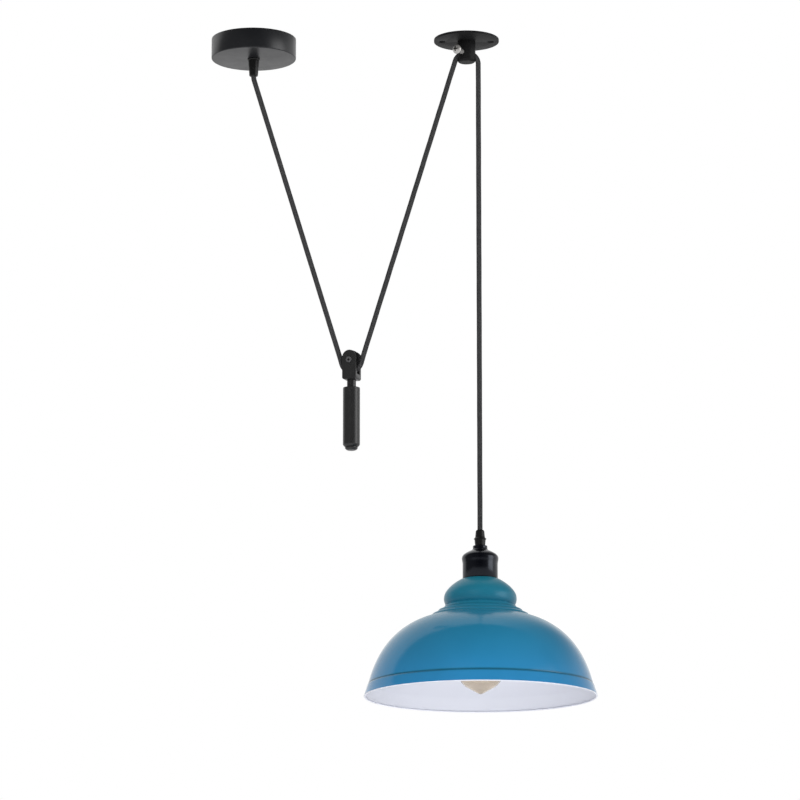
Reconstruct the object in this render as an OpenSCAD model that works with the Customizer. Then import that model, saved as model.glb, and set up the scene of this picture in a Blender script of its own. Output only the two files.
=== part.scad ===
// Rise and fall pendant: a ceiling rose, a flex that runs down to a pulley
// with a counterweight and back up over a boss on the ceiling, and a lamp with
// an enamelled steel shade. Millimetres, +Z up. The origin is the middle of the
// suspension plate's upper face, on the ceiling; the rose and the weight lie
// towards -X, the lamp towards +X. Depths are measured down from the ceiling.

/* [Suspension plate] */
// Diameter of the plate on the ceiling
plate_d = 83; // [79:0.5:110]
// Thickness of the plate
plate_t = 3; // [2.6:0.1:5]
// Distance between the two screw holes
hole_pitch = 62; // [46:0.5:66]
// Diameter of a screw hole
hole_d = 5; // [4:0.1:6]
// Diameter at the mouth of a countersink
sink_d = 9.6; // [8.6:0.1:11]

/* [Cord boss] */
// Diameter of the boss that the flex runs through
boss_d = 23; // [21:0.5:30]
// Height of the boss below the plate
boss_h = 27.4; // [25:0.2:34]
// Radius round the boss's lower edge
boss_edge_r = 3; // [1:0.25:4]
// Radius of the bend that the flex takes in the boss
arch_r = 15; // [14.5:0.25:18]
// Depth of that bend's centre below the boss
arch_low = 2; // [1:0.1:3]
// Diameter of the screw that holds the boss to the plate
boss_screw_d = 5; // [4:0.1:6]
// Length of that screw
boss_screw_l = 12; // [9:0.5:13]

/* [Lock screw] */
// Diameter of the lock screw
lock_d = 6.4; // [5:0.1:7]
// Diameter of its head
lock_head_d = 12; // [10:0.1:13]
// Height of its domed head
lock_head_h = 4.6; // [3.6:0.1:5.2]
// Length of shank that shows between the boss and the head
lock_out = 12; // [6:0.5:14]
// Angle of the screw round the boss, from -X towards the front
lock_angle = 58; // [45:1:75]
// Depth of the cross recess in the head
lock_recess = 1.6; // [1:0.1:2.4]

/* [Ceiling rose] */
// Distance from the suspension plate's middle to the rose's middle
rose_span = 272; // [250:1:400]
// Diameter of the rose
rose_d = 108; // [106:0.5:140]
// Height of the rose
rose_h = 26; // [25.6:0.2:40]
// Thickness of the rose's sheet
rose_wall = 1.2; // [0.8:0.1:1.6]
// Radius round the rose's lower edge
rose_edge_r = 2.4; // [1.8:0.1:5]

/* [Rose bracket] */
// Length of the bracket strip
bracket_l = 100; // [98:0.5:102]
// Width of the strip
bracket_w = 20; // [16:0.5:24]
// Thickness of the strip
bracket_t = 1.5; // [1:0.1:2]
// Depth of the strip's lowered middle below the ceiling
bracket_drop = 12; // [11.4:0.1:13]
// Length of the lowered middle
bracket_mid = 60; // [58:0.5:64]
// Run of each sloping part of the strip
bracket_run = 5; // [4:0.25:6]
// Distance between the middles of the two slots
slot_pitch = 84; // [82:0.5:86]
// Width of a slot
slot_w = 4.8; // [4:0.1:6]
// Length of a slot
slot_l = 11; // [7:0.1:12]

/* [Hollow nipples] */
// Outer diameter of the threaded hollow nipples
nipple_d = 10; // [9.4:0.1:11]
// Wall of a nipple
nipple_wall = 1.45; // [1.2:0.05:1.7]
// Width across the flats of a nipple's nut
nipple_nut_w = 14; // [13:0.5:15]
// Thickness of a nipple's nut
nipple_nut_t = 3; // [2:0.1:3.6]
// Length that a nipple reaches into its cord grip
nipple_in = 8; // [6:0.25:9]

/* [Rose cord grip] */
// Diameter of the flange against the rose
flange_d = 16; // [14.5:0.25:22]
// Thickness of the flange
flange_t = 2; // [1.4:0.1:3]
// Diameter at the top of the tapered grip
cone_top_d = 13; // [12.2:0.1:15]
// Diameter at the tip of the tapered grip
cone_tip_d = 10.8; // [10.4:0.1:12]
// Length of the tapered grip
cone_h = 20.4; // [19:0.2:26]

/* [Terminals] */
// Length of the three-way terminal block
block_l = 28; // [26:0.5:30]
// Width of the block
block_w = 16; // [14:0.5:18]
// Height of the block
block_h = 10; // [9:0.1:11]
// Distance between two ways
way_pitch = 9; // [8:0.1:9.4]
// Diameter of a clamping screw
clamp_d = 3.4; // [3:0.1:3.8]
// Diameter of a wire hole
wire_hole_d = 3.2; // [2.8:0.1:3.6]
// Distance from the rose's middle to the block
block_off = 13; // [12:0.25:14]

/* [Flex] */
// Diameter of the textile-covered flex
flex_d = 6.5; // [5.8:0.05:6.6]
// Diameter of one insulated core
core_d = 2.2; // [1.8:0.05:2.4]
// Length of flex between the boss and the lamp
drop_l = 605; // [400:1:1500]

/* [Pulley block] */
// Distance from the suspension plate's middle to the pulley's middle
pulley_span = 146; // [120:1:200]
// Depth of the axle below the ceiling
axle_depth = 421; // [300:1:600]
// Turn of the block about the vertical, its right side to the front
block_turn = 21; // [0:1:30]
// Radius of the flex's middle line round the sheave
pitch_r = 13.5; // [13:0.1:13.8]
// Diameter over the sheave's flanges
sheave_d = 26; // [24:0.25:27.5]
// Thickness of the sheave
sheave_t = 9; // [8.4:0.1:9.4]
// Diameter of the bush in the sheave
bush_d = 8; // [7:0.1:10]
// Width of the block's cheeks
cheek_w = 18.4; // [16:0.1:22]
// Thickness of a cheek
cheek_t = 4.4; // [3:0.1:6]
// Height of the cheeks' rounded top above the axle
cheek_rise = 12.8; // [12:0.1:15]
// Depth of the block below the axle
block_low = 24.5; // [24:0.1:30]
// Radius of the block's lower corners
block_edge_r = 2.5; // [1:0.1:4]
// Diameter of the axle
axle_d = 5; // [4:0.1:6]
// Diameter of the axle's head
axle_head_d = 7.4; // [6.8:0.1:9]

/* [Counterweight] */
// Diameter of the collar between block and weight
collar_d = 11.4; // [9:0.1:14]
// Height of that collar
collar_h = 9.9; // [6:0.1:20]
// Diameter of the rod through the weight
rod_d = 6; // [4:0.1:7.4]
// Diameter of the counterweight
weight_d = 21.5; // [18:0.1:23]
// Length of the counterweight
weight_h = 76; // [60:0.5:100]
// Radius round the counterweight's lower edge
weight_edge_r = 2.5; // [0.5:0.1:3]
// Diameter of the end cap
cap_d = 16.2; // [12:0.1:17]
// Height of the end cap
cap_h = 5.3; // [5:0.1:7]

/* [Lamp cord grip] */
// Diameter at the top of the lamp's cord grip
grip_top_d = 10.8; // [9.8:0.1:11.4]
// Diameter at the foot of the grip
grip_foot_d = 12.8; // [12.2:0.1:14]
// Diameter over the pointed ring
grip_ring_d = 16.2; // [15:0.1:18]
// Height of the grip above its ring
grip_top_h = 9.2; // [8:0.1:10]
// Height of the ring
grip_ring_h = 3.2; // [2:0.1:4]
// Height of the grip below its ring
grip_foot_h = 7.4; // [7:0.1:10]

/* [Lampholder] */
// Diameter of the collar on top of the holder's cover
neck_d = 18.2; // [17:0.1:20]
// Height of that collar
neck_h = 3.2; // [2.6:0.1:4]
// Diameter over the cover's shoulder
shoulder_d = 45.8; // [45:0.1:48]
// Diameter of the cover below the shoulder
cover_d = 43.9; // [43.6:0.1:44.6]
// Height of the flare and the shoulder
shoulder_h = 18.6; // [18:0.1:20]
// Height of the whole cover
cover_h = 42.1; // [41:0.1:44]
// Thickness of the cover's sheet
cover_wall = 1; // [0.8:0.05:1.1]
// Diameter of the threaded sleeve that goes through the shade
sleeve_d = 39; // [38.4:0.1:39.2]
// Wall of the sleeve
sleeve_wall = 1.3; // [1:0.05:1.5]
// Length of sleeve below the cover
sleeve_out = 22.5; // [20:0.5:24]
// Height of the porcelain insert
insert_h = 15; // [14:0.25:16]
// Inner diameter of the screw shell
shell_bore = 26.8; // [26.7:0.05:27]
// Thickness of the screw shell
shell_wall = 0.5; // [0.3:0.05:0.6]
// Diameter of the ring that clamps the shade
shade_ring_d = 44; // [43.6:0.1:45]
// Height of that ring
shade_ring_h = 6; // [4:0.1:8]

/* [Shade] */
// Diameter over the shade's rim
shade_d = 290; // [288:0.5:300]
// Height of the shade
shade_h = 148.1; // [146:0.1:152]
// Thickness of the enamelled sheet
shade_wall = 1; // [0.8:0.05:1.2]
// Widest diameter of the neck bulb
neck_bulb_d = 90.4; // [88:0.4:94]
// Height of the neck bulb
neck_bulb_h = 33.1; // [32:0.1:35]
// Depth of one of the three small steps below the neck
step_h = 2.6; // [2:0.1:3]
// Height of the band between the bead and the rim
band_h = 16.1; // [14:0.1:20]

/* [Bulb] */
// Widest diameter of the bulb
bulb_d = 64; // [58:0.5:68]
// Length of the bulb
bulb_l = 143; // [138:0.5:146]
// Diameter of the bulb's screw cap
bulb_cap_d = 26.2; // [26:0.05:26.4]
// Height of the bulb's screw cap
bulb_cap_h = 23; // [21:0.5:25]
// Thickness of the glass
glass_wall = 0.8; // [0.6:0.05:1]
// Number of runs of the filament
filament_runs = 10; // [6:2:14]
// Radius of the filament's cage
cage_r = 9; // [7:0.25:10]

/* [Hidden] */
$fn = 64;

slack = 0.15;      // clearance round what slides or drops in
running = 0.05;    // clearance on a radius where a piece turns
seat = 0.3;        // gap left between shapes that would only just touch
cut = 1;           // how far a cutter runs past what it cuts
leg_angle = 16.8;  // angle of each leg of the flex from the vertical

// Depths below the ceiling
boss_base = plate_t + boss_h;
arch_depth = boss_base + arch_low;
lock_depth = arch_depth - arch_r + 1.2;
nipple_bore = nipple_d - 2 * nipple_wall;
rose_nipple_top = bracket_drop - nipple_nut_t - 1;
cone_top = rose_h + flange_t;
cone_tip = cone_top + cone_h;
block_top = bracket_drop + bracket_t;
grip_top = arch_depth + drop_l;
ring_top = grip_top + grip_top_h;
ring_base = ring_top + grip_ring_h;
cover_top = ring_base + grip_foot_h;
shade_top = cover_top + cover_h;
shade_rim = shade_top + shade_h;
sleeve_top = shade_top - 19.5;
sleeve_lip = 6;
insert_base = sleeve_top + insert_h;
sleeve_base = shade_top + sleeve_out;
contact_depth = insert_base + 6;
bulb_tip = contact_depth + bulb_l;
bulb_cap_base = contact_depth + 4 + bulb_cap_h;
weight_top = axle_depth + block_low + collar_h;
weight_base = weight_top + weight_h;

// Widths that follow from the sizes above
flex_hole_d = flex_d + 2 * slack;
slot_gap = sheave_t + 2 * seat;
block_t = slot_gap + 2 * cheek_t;
groove_r = flex_d / 2 + slack;
sleeve_bore = sleeve_d - 2 * sleeve_wall;
insert_d = sleeve_bore - 2 * slack;
shell_d = shell_bore + 2 * shell_wall;
shade_hole_d = sleeve_d + 1;
channel_over = 20;      // turn by which the boss's channel runs on past the flex's bend
lock_tip = flex_d / 2 + lock_d / 2 + slack;   // distance of the screw's tip from the boss's axis
collet_d = 8.6;         // outer diameter of the split rings that grip the flex
collet_h = 8;           // height of those rings
earth_off = 18;         // distance from the rose's middle to the earth screw
earth_d = 4;            // diameter of the earth screw
lug_t = 0.8;            // thickness of the earth lug
axle_nut_w = 8;         // width across the flats of the axle's nut
axle_nut_t = 3.2;       // thickness of that nut
insert_lip = 3;         // thickness of the insert's rim on the sleeve
holder_screw_off = 11;  // distance of a holder's clamping screw from the axis
glass_top = bulb_cap_base - 8;
belly_height = 45;      // height of the bulb's widest place above its tip
stem_d = 13;            // diameter of the glass stem under its flare
stem_end_d = 7;         // diameter of the stem's lower end
stem_l = 19;            // length of the stem
mount_rod_d = 2.4;      // diameter of the rod that carries the filament
cage_top = glass_top + 32;
cage_base = cage_top + 46;
run_lean = 8;           // turn of each run of the filament round its cage
filament_d = 0.9;       // diameter of the filament's coiled wire

// Middle line of the flex's free stretches
left_leg = [[-158.1, 4.6, -424.9], [-160.8, 5.6, -415.3], [-197.5, 3.8, -295.3],
            [-234.2, 1.9, -175.3], [-270.4, 0.1, -57], [-271.6, 0, -53],
            [-272, 0, -50.6], [-272, 0, -48.4]];
right_leg = [[-133.9, -4.6, -424.9], [-131.2, -5.6, -415.3], [-92.2, -3.7, -286.2],
             [-53.3, -1.8, -157.1], [-14.4, 0, -28.1]];
drop = [[15, 0, -32.4], [15, 0, -637.4]];

// Middle lines of the cores in the rose, from the rose's middle
live_route = [[1.2, 1, -8], [1.2, 1, -7], [1.4, 3.4, -4.6], [2.4, 8.2, -4.2], [3.6, 12.4, -6.6],
              [4.4, 14, -11.4], [6.6, 13, -17.2], [9.6, 10, -18.5], [15, 9, -18.5]];
neutral_route = [[-1.2, 1, -8], [-1.2, 1, -7], [-1.6, 5, -3.6], [-2.2, 11, -3.4], [-1.2, 16, -8],
                 [0.8, 14.4, -16.4], [4, 6.6, -21], [9, 0.8, -19.2], [15, 0, -18.5]];
earth_route = [[0, -1.6, -8], [0, -1.6, -7], [0, -4.4, -4.6], [0.8, -9, -4.2], [2.2, -13, -7.4],
               [3.4, -14, -12.6], [6, -12.2, -17.4], [9.6, -9.8, -18.5], [15, -9, -18.5]];
lamp_core_route = [[0, 0, 0], [0, 0, -1], [1.6, 0, -3], [6.4, 0, -4.6], [11, 0, -6]];

// Unit vector along v
function unit(v) = v / norm(v);
// Direction of a route at its point i
function heading(p, i) = unit(p[min(i + 1, len(p) - 1)] - p[max(i - 1, 0)]);
// Part of v that is square to t, at unit length
function square_to(v, t) = unit(v - (v * t) * t);
// The route with more points, none further apart than step
function refine(p, step) = concat(
    [for (i = [0 : len(p) - 2])
        let (run = p[i + 1] - p[i], parts = ceil(norm(run) / step))
        for (k = [0 : parts - 1]) p[i] + run * k / parts],
    [p[len(p) - 1]]);
// One side direction for each point, carried along without a twist
function sides_of(p, first) =
    [for (i = 0, s = square_to(first, heading(p, 0)); i < len(p);
          i = i + 1, s = i < len(p) ? square_to(s, heading(p, i)) : s) s];
// Point at t on the curve with end points a, d and pull points b, c
function bend(a, b, c, d, t) =
    (1 - t)^3 * a + 3 * (1 - t)^2 * t * b + 3 * (1 - t) * t^2 * c + t^3 * d;
// The same curve as a list of points, without its first one
function bend_line(a, b, c, d, parts) = [for (i = [1 : parts]) bend(a, b, c, d, i / parts)];
// The line moved by w to its right-hand side as it is walked along
function beside(p, w) =
    [for (i = [0 : len(p) - 1]) let (t = heading(p, i)) p[i] + w * [t[1], -t[0]]];
// The line walked backwards
function backwards(p) = [for (i = [len(p) - 1 : -1 : 0]) p[i]];

// Round tube along a route, with flat ends
module sweep(route, d, faces, first_side) {
    sides = sides_of(route, first_side);
    rings = [for (i = [0 : len(route) - 1])
        let (t = heading(route, i), u = sides[i], v = cross(t, u))
        for (k = [0 : faces - 1])
            route[i] + d / 2 * (cos(360 * k / faces) * u + sin(360 * k / faces) * v)];
    last = (len(route) - 1) * faces;
    walls = [for (i = [0 : len(route) - 2]) for (k = [0 : faces - 1])
        let (a = i * faces + k, b = i * faces + (k + 1) % faces)
        for (face = [[a, a + faces, b], [b, a + faces, b + faces]]) face];
    ends = [[for (k = [0 : faces - 1]) k],
            [for (k = [0 : faces - 1]) last + faces - 1 - k]];
    polyhedron(points = rings, faces = concat(walls, ends));
}

// Cylinder between two depths
module drum(top, base, d) {
    translate([0, 0, -base]) cylinder(d = d, h = base - top);
}
// Cutter that runs past both of those depths
module bore(top, base, d) {
    drum(top - cut, base + cut, d);
}
// Cone between two depths
module taper(top, base, top_d, base_d) {
    translate([0, 0, -base]) cylinder(d1 = base_d, d2 = top_d, h = base - top);
}
// Drum with a rounded lower edge
module round_drum(top, base, d, edge_r) {
    translate([0, 0, -base]) rotate_extrude() {
        translate([0, edge_r]) square([d / 2, base - top - edge_r]);
        square([d / 2 - edge_r, edge_r + cut / 10]);
        translate([d / 2 - edge_r, edge_r]) intersection() {
            circle(r = edge_r);
            translate([-cut / 10, -2 * edge_r]) square([2 * edge_r, 2 * edge_r + cut / 10]);
        }
    }
}
// Hexagon nut between two depths
module hex_nut(top, base, width, hole_d) {
    difference() {
        translate([0, 0, -base]) cylinder(d = width / cos(30), h = base - top, $fn = 6);
        bore(top, base, hole_d);
    }
}
// Cross recess, pressed down from z = 0
module cross_recess(width, depth) {
    blade = width / 4;
    for (turn = [0, 90]) rotate(turn)
        translate([-width / 2, -blade / 2, -depth]) cube([width, blade, depth + cut]);
}
// Places for what sits at the rose, the block or the lamp
module at_rose() { translate([-rose_span, 0, 0]) children(); }
module at_axle() { translate([-pulley_span, 0, -axle_depth]) rotate(-block_turn) children(); }
module at_weight() { translate([-pulley_span, 0, 0]) children(); }
module at_lamp() { translate([arch_r, 0, 0]) children(); }

module suspension_plate() color("#26262a") {
    difference() {
        drum(0, plate_t, plate_d);
        for (side = [-1, 1]) translate([side * hole_pitch / 2, 0, 0]) {
            bore(0, plate_t, hole_d);
            taper(plate_t - (sink_d - hole_d) / 2, plate_t, hole_d, sink_d);
            drum(plate_t, plate_t + cut, sink_d);
        }
        bore(0, plate_t, boss_screw_d + 2 * slack);
        taper(0, boss_screw_d / 2 + slack, 2 * boss_screw_d + 2 * slack, boss_screw_d + 2 * slack);
    }
}

// Screw from above, its head flush with the plate
module boss_screw() color("silver") {
    difference() {
        union() {
            taper(slack, boss_screw_d / 2 + slack, 2 * boss_screw_d, boss_screw_d);
            drum(boss_screw_d / 2, boss_screw_l, boss_screw_d);
        }
        translate([0, 0, -slack]) cross_recess(boss_screw_d, 1.4);
    }
}

// Curved channel or flex about the bend's centre, from the right round to the left leg
module arch(d, start, end) {
    translate([0, 0, -arch_depth]) rotate([90, 0, 0])
        rotate(start) rotate_extrude(angle = end - start)
            translate([arch_r, 0]) circle(d = d, $fn = 32);
}

module lock_place() {
    translate([0, 0, -lock_depth]) rotate(180 + lock_angle) rotate([0, 90, 0]) children();
}

module cord_boss() color("#26262a") {
    difference() {
        round_drum(plate_t, boss_base, boss_d, boss_edge_r);
        arch(flex_hole_d, -channel_over, 180 + channel_over);
        drum(plate_t - cut, boss_screw_l + 0.6, boss_screw_d + 2 * running);
        lock_place() translate([0, 0, lock_tip - 1.5]) cylinder(d = lock_d + 2 * running, h = boss_d);
    }
}

// Screw from the side, its tip against the flex
module lock_screw() color("silver") {
    head_base = boss_d / 2 + lock_out;
    dome_r = (pow(lock_head_d / 2, 2) + pow(lock_head_h, 2)) / (2 * lock_head_h);
    lock_place() {
        translate([0, 0, lock_tip]) cylinder(d = lock_d, h = head_base - lock_tip + 0.5);
        translate([0, 0, head_base]) difference() {
            intersection() {
                translate([0, 0, lock_head_h - dome_r]) sphere(r = dome_r);
                cylinder(d = lock_head_d + 2, h = lock_head_h + 1);
            }
            translate([0, 0, lock_head_h]) cross_recess(lock_head_d * 0.55, lock_recess);
        }
    }
}

module rose_cover() color("#1c1c20") at_rose() {
    difference() {
        round_drum(0, rose_h, rose_d, rose_edge_r);
        round_drum(-cut, rose_h - rose_wall, rose_d - 2 * rose_wall, rose_edge_r - rose_wall);
        bore(rose_h - rose_wall, rose_h, nipple_d + 2 * slack);
    }
}

module rose_bracket() color("silver") at_rose() {
    mid = bracket_mid / 2;
    end = bracket_l / 2;
    knee = mid + bracket_run;
    half = [[end, 0], [knee, 0], [mid, -bracket_drop]];
    upper = concat([for (p = half) p], [for (p = backwards(half)) [-p[0], p[1]]]);
    strip = concat(upper, [for (p = backwards(upper)) [p[0], p[1] - bracket_t]]);
    difference() {
        translate([0, bracket_w / 2, 0]) rotate([90, 0, 0])
            linear_extrude(bracket_w) polygon(strip);
        for (side = [-1, 1]) translate([side * slot_pitch / 2, 0, 0]) {
            for (x = [-1, 1]) translate([x * (slot_l - slot_w) / 2, 0, 0]) bore(0, bracket_t, slot_w);
            translate([-(slot_l - slot_w) / 2, -slot_w / 2, -bracket_t - cut])
                cube([slot_l - slot_w, slot_w, bracket_t + 2 * cut]);
        }
        bore(bracket_drop, block_top, nipple_d + 2 * running);
        translate([block_off + block_w / 2, 0, 0]) bore(bracket_drop, block_top, clamp_d);
        translate([-earth_off, 0, 0]) bore(bracket_drop, block_top, earth_d);
    }
}

module hollow_nipple(top, base) {
    difference() {
        drum(top, base, nipple_d);
        bore(top, base, nipple_bore);
    }
}
module rose_nipple() color("#c8a650") at_rose()
    hollow_nipple(rose_nipple_top, cone_top + nipple_in);

module rose_nipple_nut() color("#c8a650") at_rose()
    hex_nut(bracket_drop - nipple_nut_t, bracket_drop, nipple_nut_w, nipple_d + 2 * running);

module rose_grip_flange() color("#1c1c20") at_rose() {
    difference() {
        union() {
            drum(rose_h, rose_h + flange_t / 2, flange_d);
            taper(rose_h + flange_t / 2, cone_top, flange_d, flange_d - flange_t);
        }
        bore(rose_h, cone_top, nipple_d + 2 * running);
    }
}

module rose_grip_cone() color("#1c1c20") at_rose() {
    difference() {
        taper(cone_top, cone_tip, cone_top_d, cone_tip_d);
        drum(cone_top - cut, cone_top + nipple_in + 0.5, nipple_d + 2 * running);
        drum(cone_top, cone_tip - 1.6, collet_d + 2 * slack);
        bore(cone_top, cone_tip, flex_hole_d);
    }
}

// Split ring round the flex
module collet(base) {
    difference() {
        drum(base - collet_h, base, collet_d);
        bore(base - collet_h, base, flex_d + 2 * running);
        translate([0, -0.5, -base - cut]) cube([collet_d, 1, collet_h + 2 * cut]);
    }
}
module rose_grip_collet() color("ivory") at_rose() collet(cone_tip - 1.7);

module terminal_block() color("ivory") at_rose() {
    translate([block_off, 0, -block_top - block_h]) difference() {
        union() {
            translate([0, -block_l / 2, 0]) cube([block_w, block_l, block_h - 3]);
            for (way = [-1, 0, 1])
                translate([0, way * way_pitch - 3.8, 0]) cube([block_w, 7.6, block_h]);
        }
        for (way = [-1, 0, 1]) translate([0, way * way_pitch, 0]) {
            translate([-cut, 0, block_h / 2]) rotate([0, 90, 0])
                cylinder(d = wire_hole_d, h = block_w + 2 * cut);
            for (x = [0.25, 0.75]) translate([x * block_w, 0, -cut])
                cylinder(d = clamp_d + 2 * running, h = block_h / 2 + cut);
        }
        translate([block_w / 2, 0, -cut]) cylinder(d = clamp_d - 0.6, h = block_h + 2 * cut);
    }
}

module clamp_screws() color("silver") at_rose() {
    reach = (block_h - core_d) / 2 - 0.4;
    for (way = [-1, 0, 1]) for (x = [0.25, 0.75])
        translate([block_off + x * block_w, way * way_pitch, -block_top - block_h]) difference() {
            cylinder(d = clamp_d, h = reach);
            translate([-clamp_d, -0.35, -cut]) cube([2 * clamp_d, 0.7, cut + 0.8]);
        }
}

// Screw that holds the terminal block up to the bracket
module block_screw() color("silver") at_rose() {
    translate([block_off + block_w / 2, 0, 0]) {
        drum(bracket_drop - 1.8, bracket_drop, 2 * clamp_d - 1);
        drum(bracket_drop - 0.5, block_top + block_h / 2 - wire_hole_d / 2 - 0.3, clamp_d - 0.8);
    }
}

module earth_screw() color("#c8a650") at_rose() translate([-earth_off, 0, 0]) {
    difference() {
        union() {
            drum(block_top + lug_t, block_top + lug_t + 2.4, 2 * earth_d);
            drum(bracket_drop - 2.5, block_top + lug_t + 0.5, earth_d - 2 * running);
        }
        translate([-earth_d, -0.5, -block_top - lug_t - 2.4 - cut]) cube([2 * earth_d, 1, cut + 1]);
    }
}
module earth_lug() color("silver") at_rose() translate([-earth_off, 0, 0]) {
    difference() {
        union() {
            drum(block_top, block_top + lug_t, 2 * earth_d);
            translate([-2, -14, -block_top - lug_t]) cube([4, 14, lug_t]);
            translate([0, -14, -block_top - 1.8]) rotate([90, 0, 0]) cylinder(d = 3.6, h = 6);
        }
        bore(block_top, block_top + lug_t, earth_d);
    }
}

module core(route) {
    sweep(refine(route, 3), core_d, 8, [1, 0, 0]);
}
module core_live() color("#7a4a22") at_rose() core(live_route);
module core_neutral() color("#2f62b5") at_rose() core(neutral_route);
module core_earth() color("#7d9c2b") at_rose() core(earth_route);

module flex_rose_tail() color("#3a3a3c") at_rose() drum(rose_nipple_top, cone_tip, flex_d);
module flex_lamp_tail() color("#3a3a3c") at_lamp() drum(grip_top, cover_top + nipple_in, flex_d);

module free_flex(route) {
    sweep(refine(route, 2.9 * flex_d), flex_d, 10, [0, 1, 0]);
}
module flex_left_leg() color("#3a3a3c") free_flex(left_leg);
module flex_right_leg() color("#3a3a3c") free_flex(right_leg);
module flex_drop() color("#3a3a3c") free_flex(drop);
module flex_arch() color("#3a3a3c") arch(flex_d, 0, 180 - leg_angle);

// Flex round the underside of the sheave
module flex_wrap() color("#3a3a3c") at_axle() {
    rotate([90, 0, 0]) rotate(180 + leg_angle) rotate_extrude(angle = 180 - 2 * leg_angle)
        translate([pitch_r, 0]) circle(d = flex_d, $fn = 32);
}

// Drum lying along the axle, y from a to b
module cross_drum(a, b, d) {
    translate([0, b, 0]) rotate([90, 0, 0]) cylinder(d = d, h = b - a);
}
module cheek_outline() {
    top_r = cheek_w / 2;
    translate([0, cheek_rise - top_r]) circle(r = top_r);
    translate([-top_r, block_edge_r - block_low])
        square([cheek_w, block_low + cheek_rise - top_r - block_edge_r]);
    translate([block_edge_r - top_r, -block_low]) square([cheek_w - 2 * block_edge_r, block_edge_r * 2]);
    for (side = [-1, 1]) translate([side * (top_r - block_edge_r), block_edge_r - block_low])
        circle(r = block_edge_r);
}
// Two cheeks on one base, cut from a bar
module pulley_block() color("#2c2c2e") at_axle() {
    slot_floor = pitch_r + flex_d / 2 + 0.8;
    difference() {
        translate([0, block_t / 2, 0]) rotate([90, 0, 0]) linear_extrude(block_t) cheek_outline();
        translate([-cheek_w, -slot_gap / 2, -slot_floor])
            cube([2 * cheek_w, slot_gap, slot_floor + cheek_rise + cut]);
        cross_drum(-block_t / 2 - cut, block_t / 2 + cut, axle_d + 2 * running);
        translate([0, 0, -block_low - cut]) cylinder(d = rod_d + 2 * running, h = 6 + cut);
    }
}
module axle_screw() color("#4a4a4c") at_axle() {
    head_t = 1.5;
    difference() {
        union() {
            cross_drum(-block_t / 2 - head_t, -block_t / 2, axle_head_d);
            cross_drum(-block_t / 2 - 0.5, block_t / 2 + axle_nut_t + 0.8, axle_d);
        }
        translate([0, -block_t / 2 - head_t, 0]) rotate([90, 0, 0])
            cross_recess(axle_head_d * 0.55, 1);
    }
}
module axle_nut() color("#4a4a4c") at_axle() {
    translate([0, block_t / 2 + axle_nut_t, 0]) rotate([90, 0, 0]) difference() {
        cylinder(d = axle_nut_w / cos(30), h = axle_nut_t, $fn = 6);
        translate([0, 0, -cut]) cylinder(d = axle_d + 2 * running, h = axle_nut_t + 2 * cut);
    }
}
module sheave() color("#3c3c3e") at_axle() {
    rotate([90, 0, 0]) rotate_extrude() difference() {
        translate([bush_d / 2, -sheave_t / 2]) square([(sheave_d - bush_d) / 2, sheave_t]);
        translate([pitch_r, 0]) circle(r = groove_r);
    }
}
module sheave_bush() color("#c8a650") at_axle() {
    difference() {
        cross_drum(-slot_gap / 2 + running, slot_gap / 2 - running, bush_d);
        cross_drum(-slot_gap, slot_gap, axle_d + 2 * running);
    }
}

module weight_collar() color("#2c2c2e") at_weight() difference() {
    drum(weight_top - collar_h, weight_top, collar_d);
    bore(weight_top - collar_h, weight_top, rod_d + 2 * running);
}
module weight_rod() color("silver") at_weight()
    drum(weight_top - collar_h - 5.5, weight_base + cap_h - 2, rod_d);
module counterweight() color("#2c2c2e") at_weight() difference() {
    round_drum(weight_top, weight_base, weight_d, weight_edge_r);
    bore(weight_top, weight_base, rod_d + 2 * running);
}
module weight_cap() color("#3c3c3e") at_weight() difference() {
    union() {
        drum(weight_base, weight_base + cap_h - 1.2, cap_d);
        taper(weight_base + cap_h - 1.2, weight_base + cap_h, cap_d, cap_d - 2.4);
    }
    drum(weight_base - cut, weight_base + cap_h - 1.8, rod_d + 2 * running);
}

// Cord grip with a pointed ring round it
module lamp_grip() color("#141416") at_lamp() {
    ring_mid = ring_top + grip_ring_h * 0.6;
    difference() {
        union() {
            taper(grip_top, grip_top + 1.2, grip_top_d - 1.6, grip_top_d);
            taper(grip_top + 1.2, ring_top, grip_top_d, grip_top_d + 1.6);
            taper(ring_top, ring_mid, grip_top_d + 1.6, grip_ring_d);
            taper(ring_mid, ring_base, grip_ring_d, grip_foot_d + 1);
            taper(ring_base, cover_top, grip_foot_d + 1, grip_foot_d);
        }
        drum(grip_top + 1.5, ring_base, collet_d + 2 * slack);
        drum(cover_top - nipple_in - 0.5, cover_top + cut, nipple_d + 2 * running);
        bore(grip_top, ring_base, flex_hole_d);
    }
}
module lamp_grip_collet() color("ivory") at_lamp() collet(grip_top + 1.6 + collet_h);

module holder_nipple() color("#c8a650") at_lamp()
    hollow_nipple(cover_top - nipple_in, cover_top + nipple_in);
module holder_nut() color("#c8a650") at_lamp() {
    top = cover_top + cover_wall;
    hex_nut(top, top + nipple_nut_t - 0.6, nipple_nut_w, nipple_d + 2 * running);
}

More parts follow.
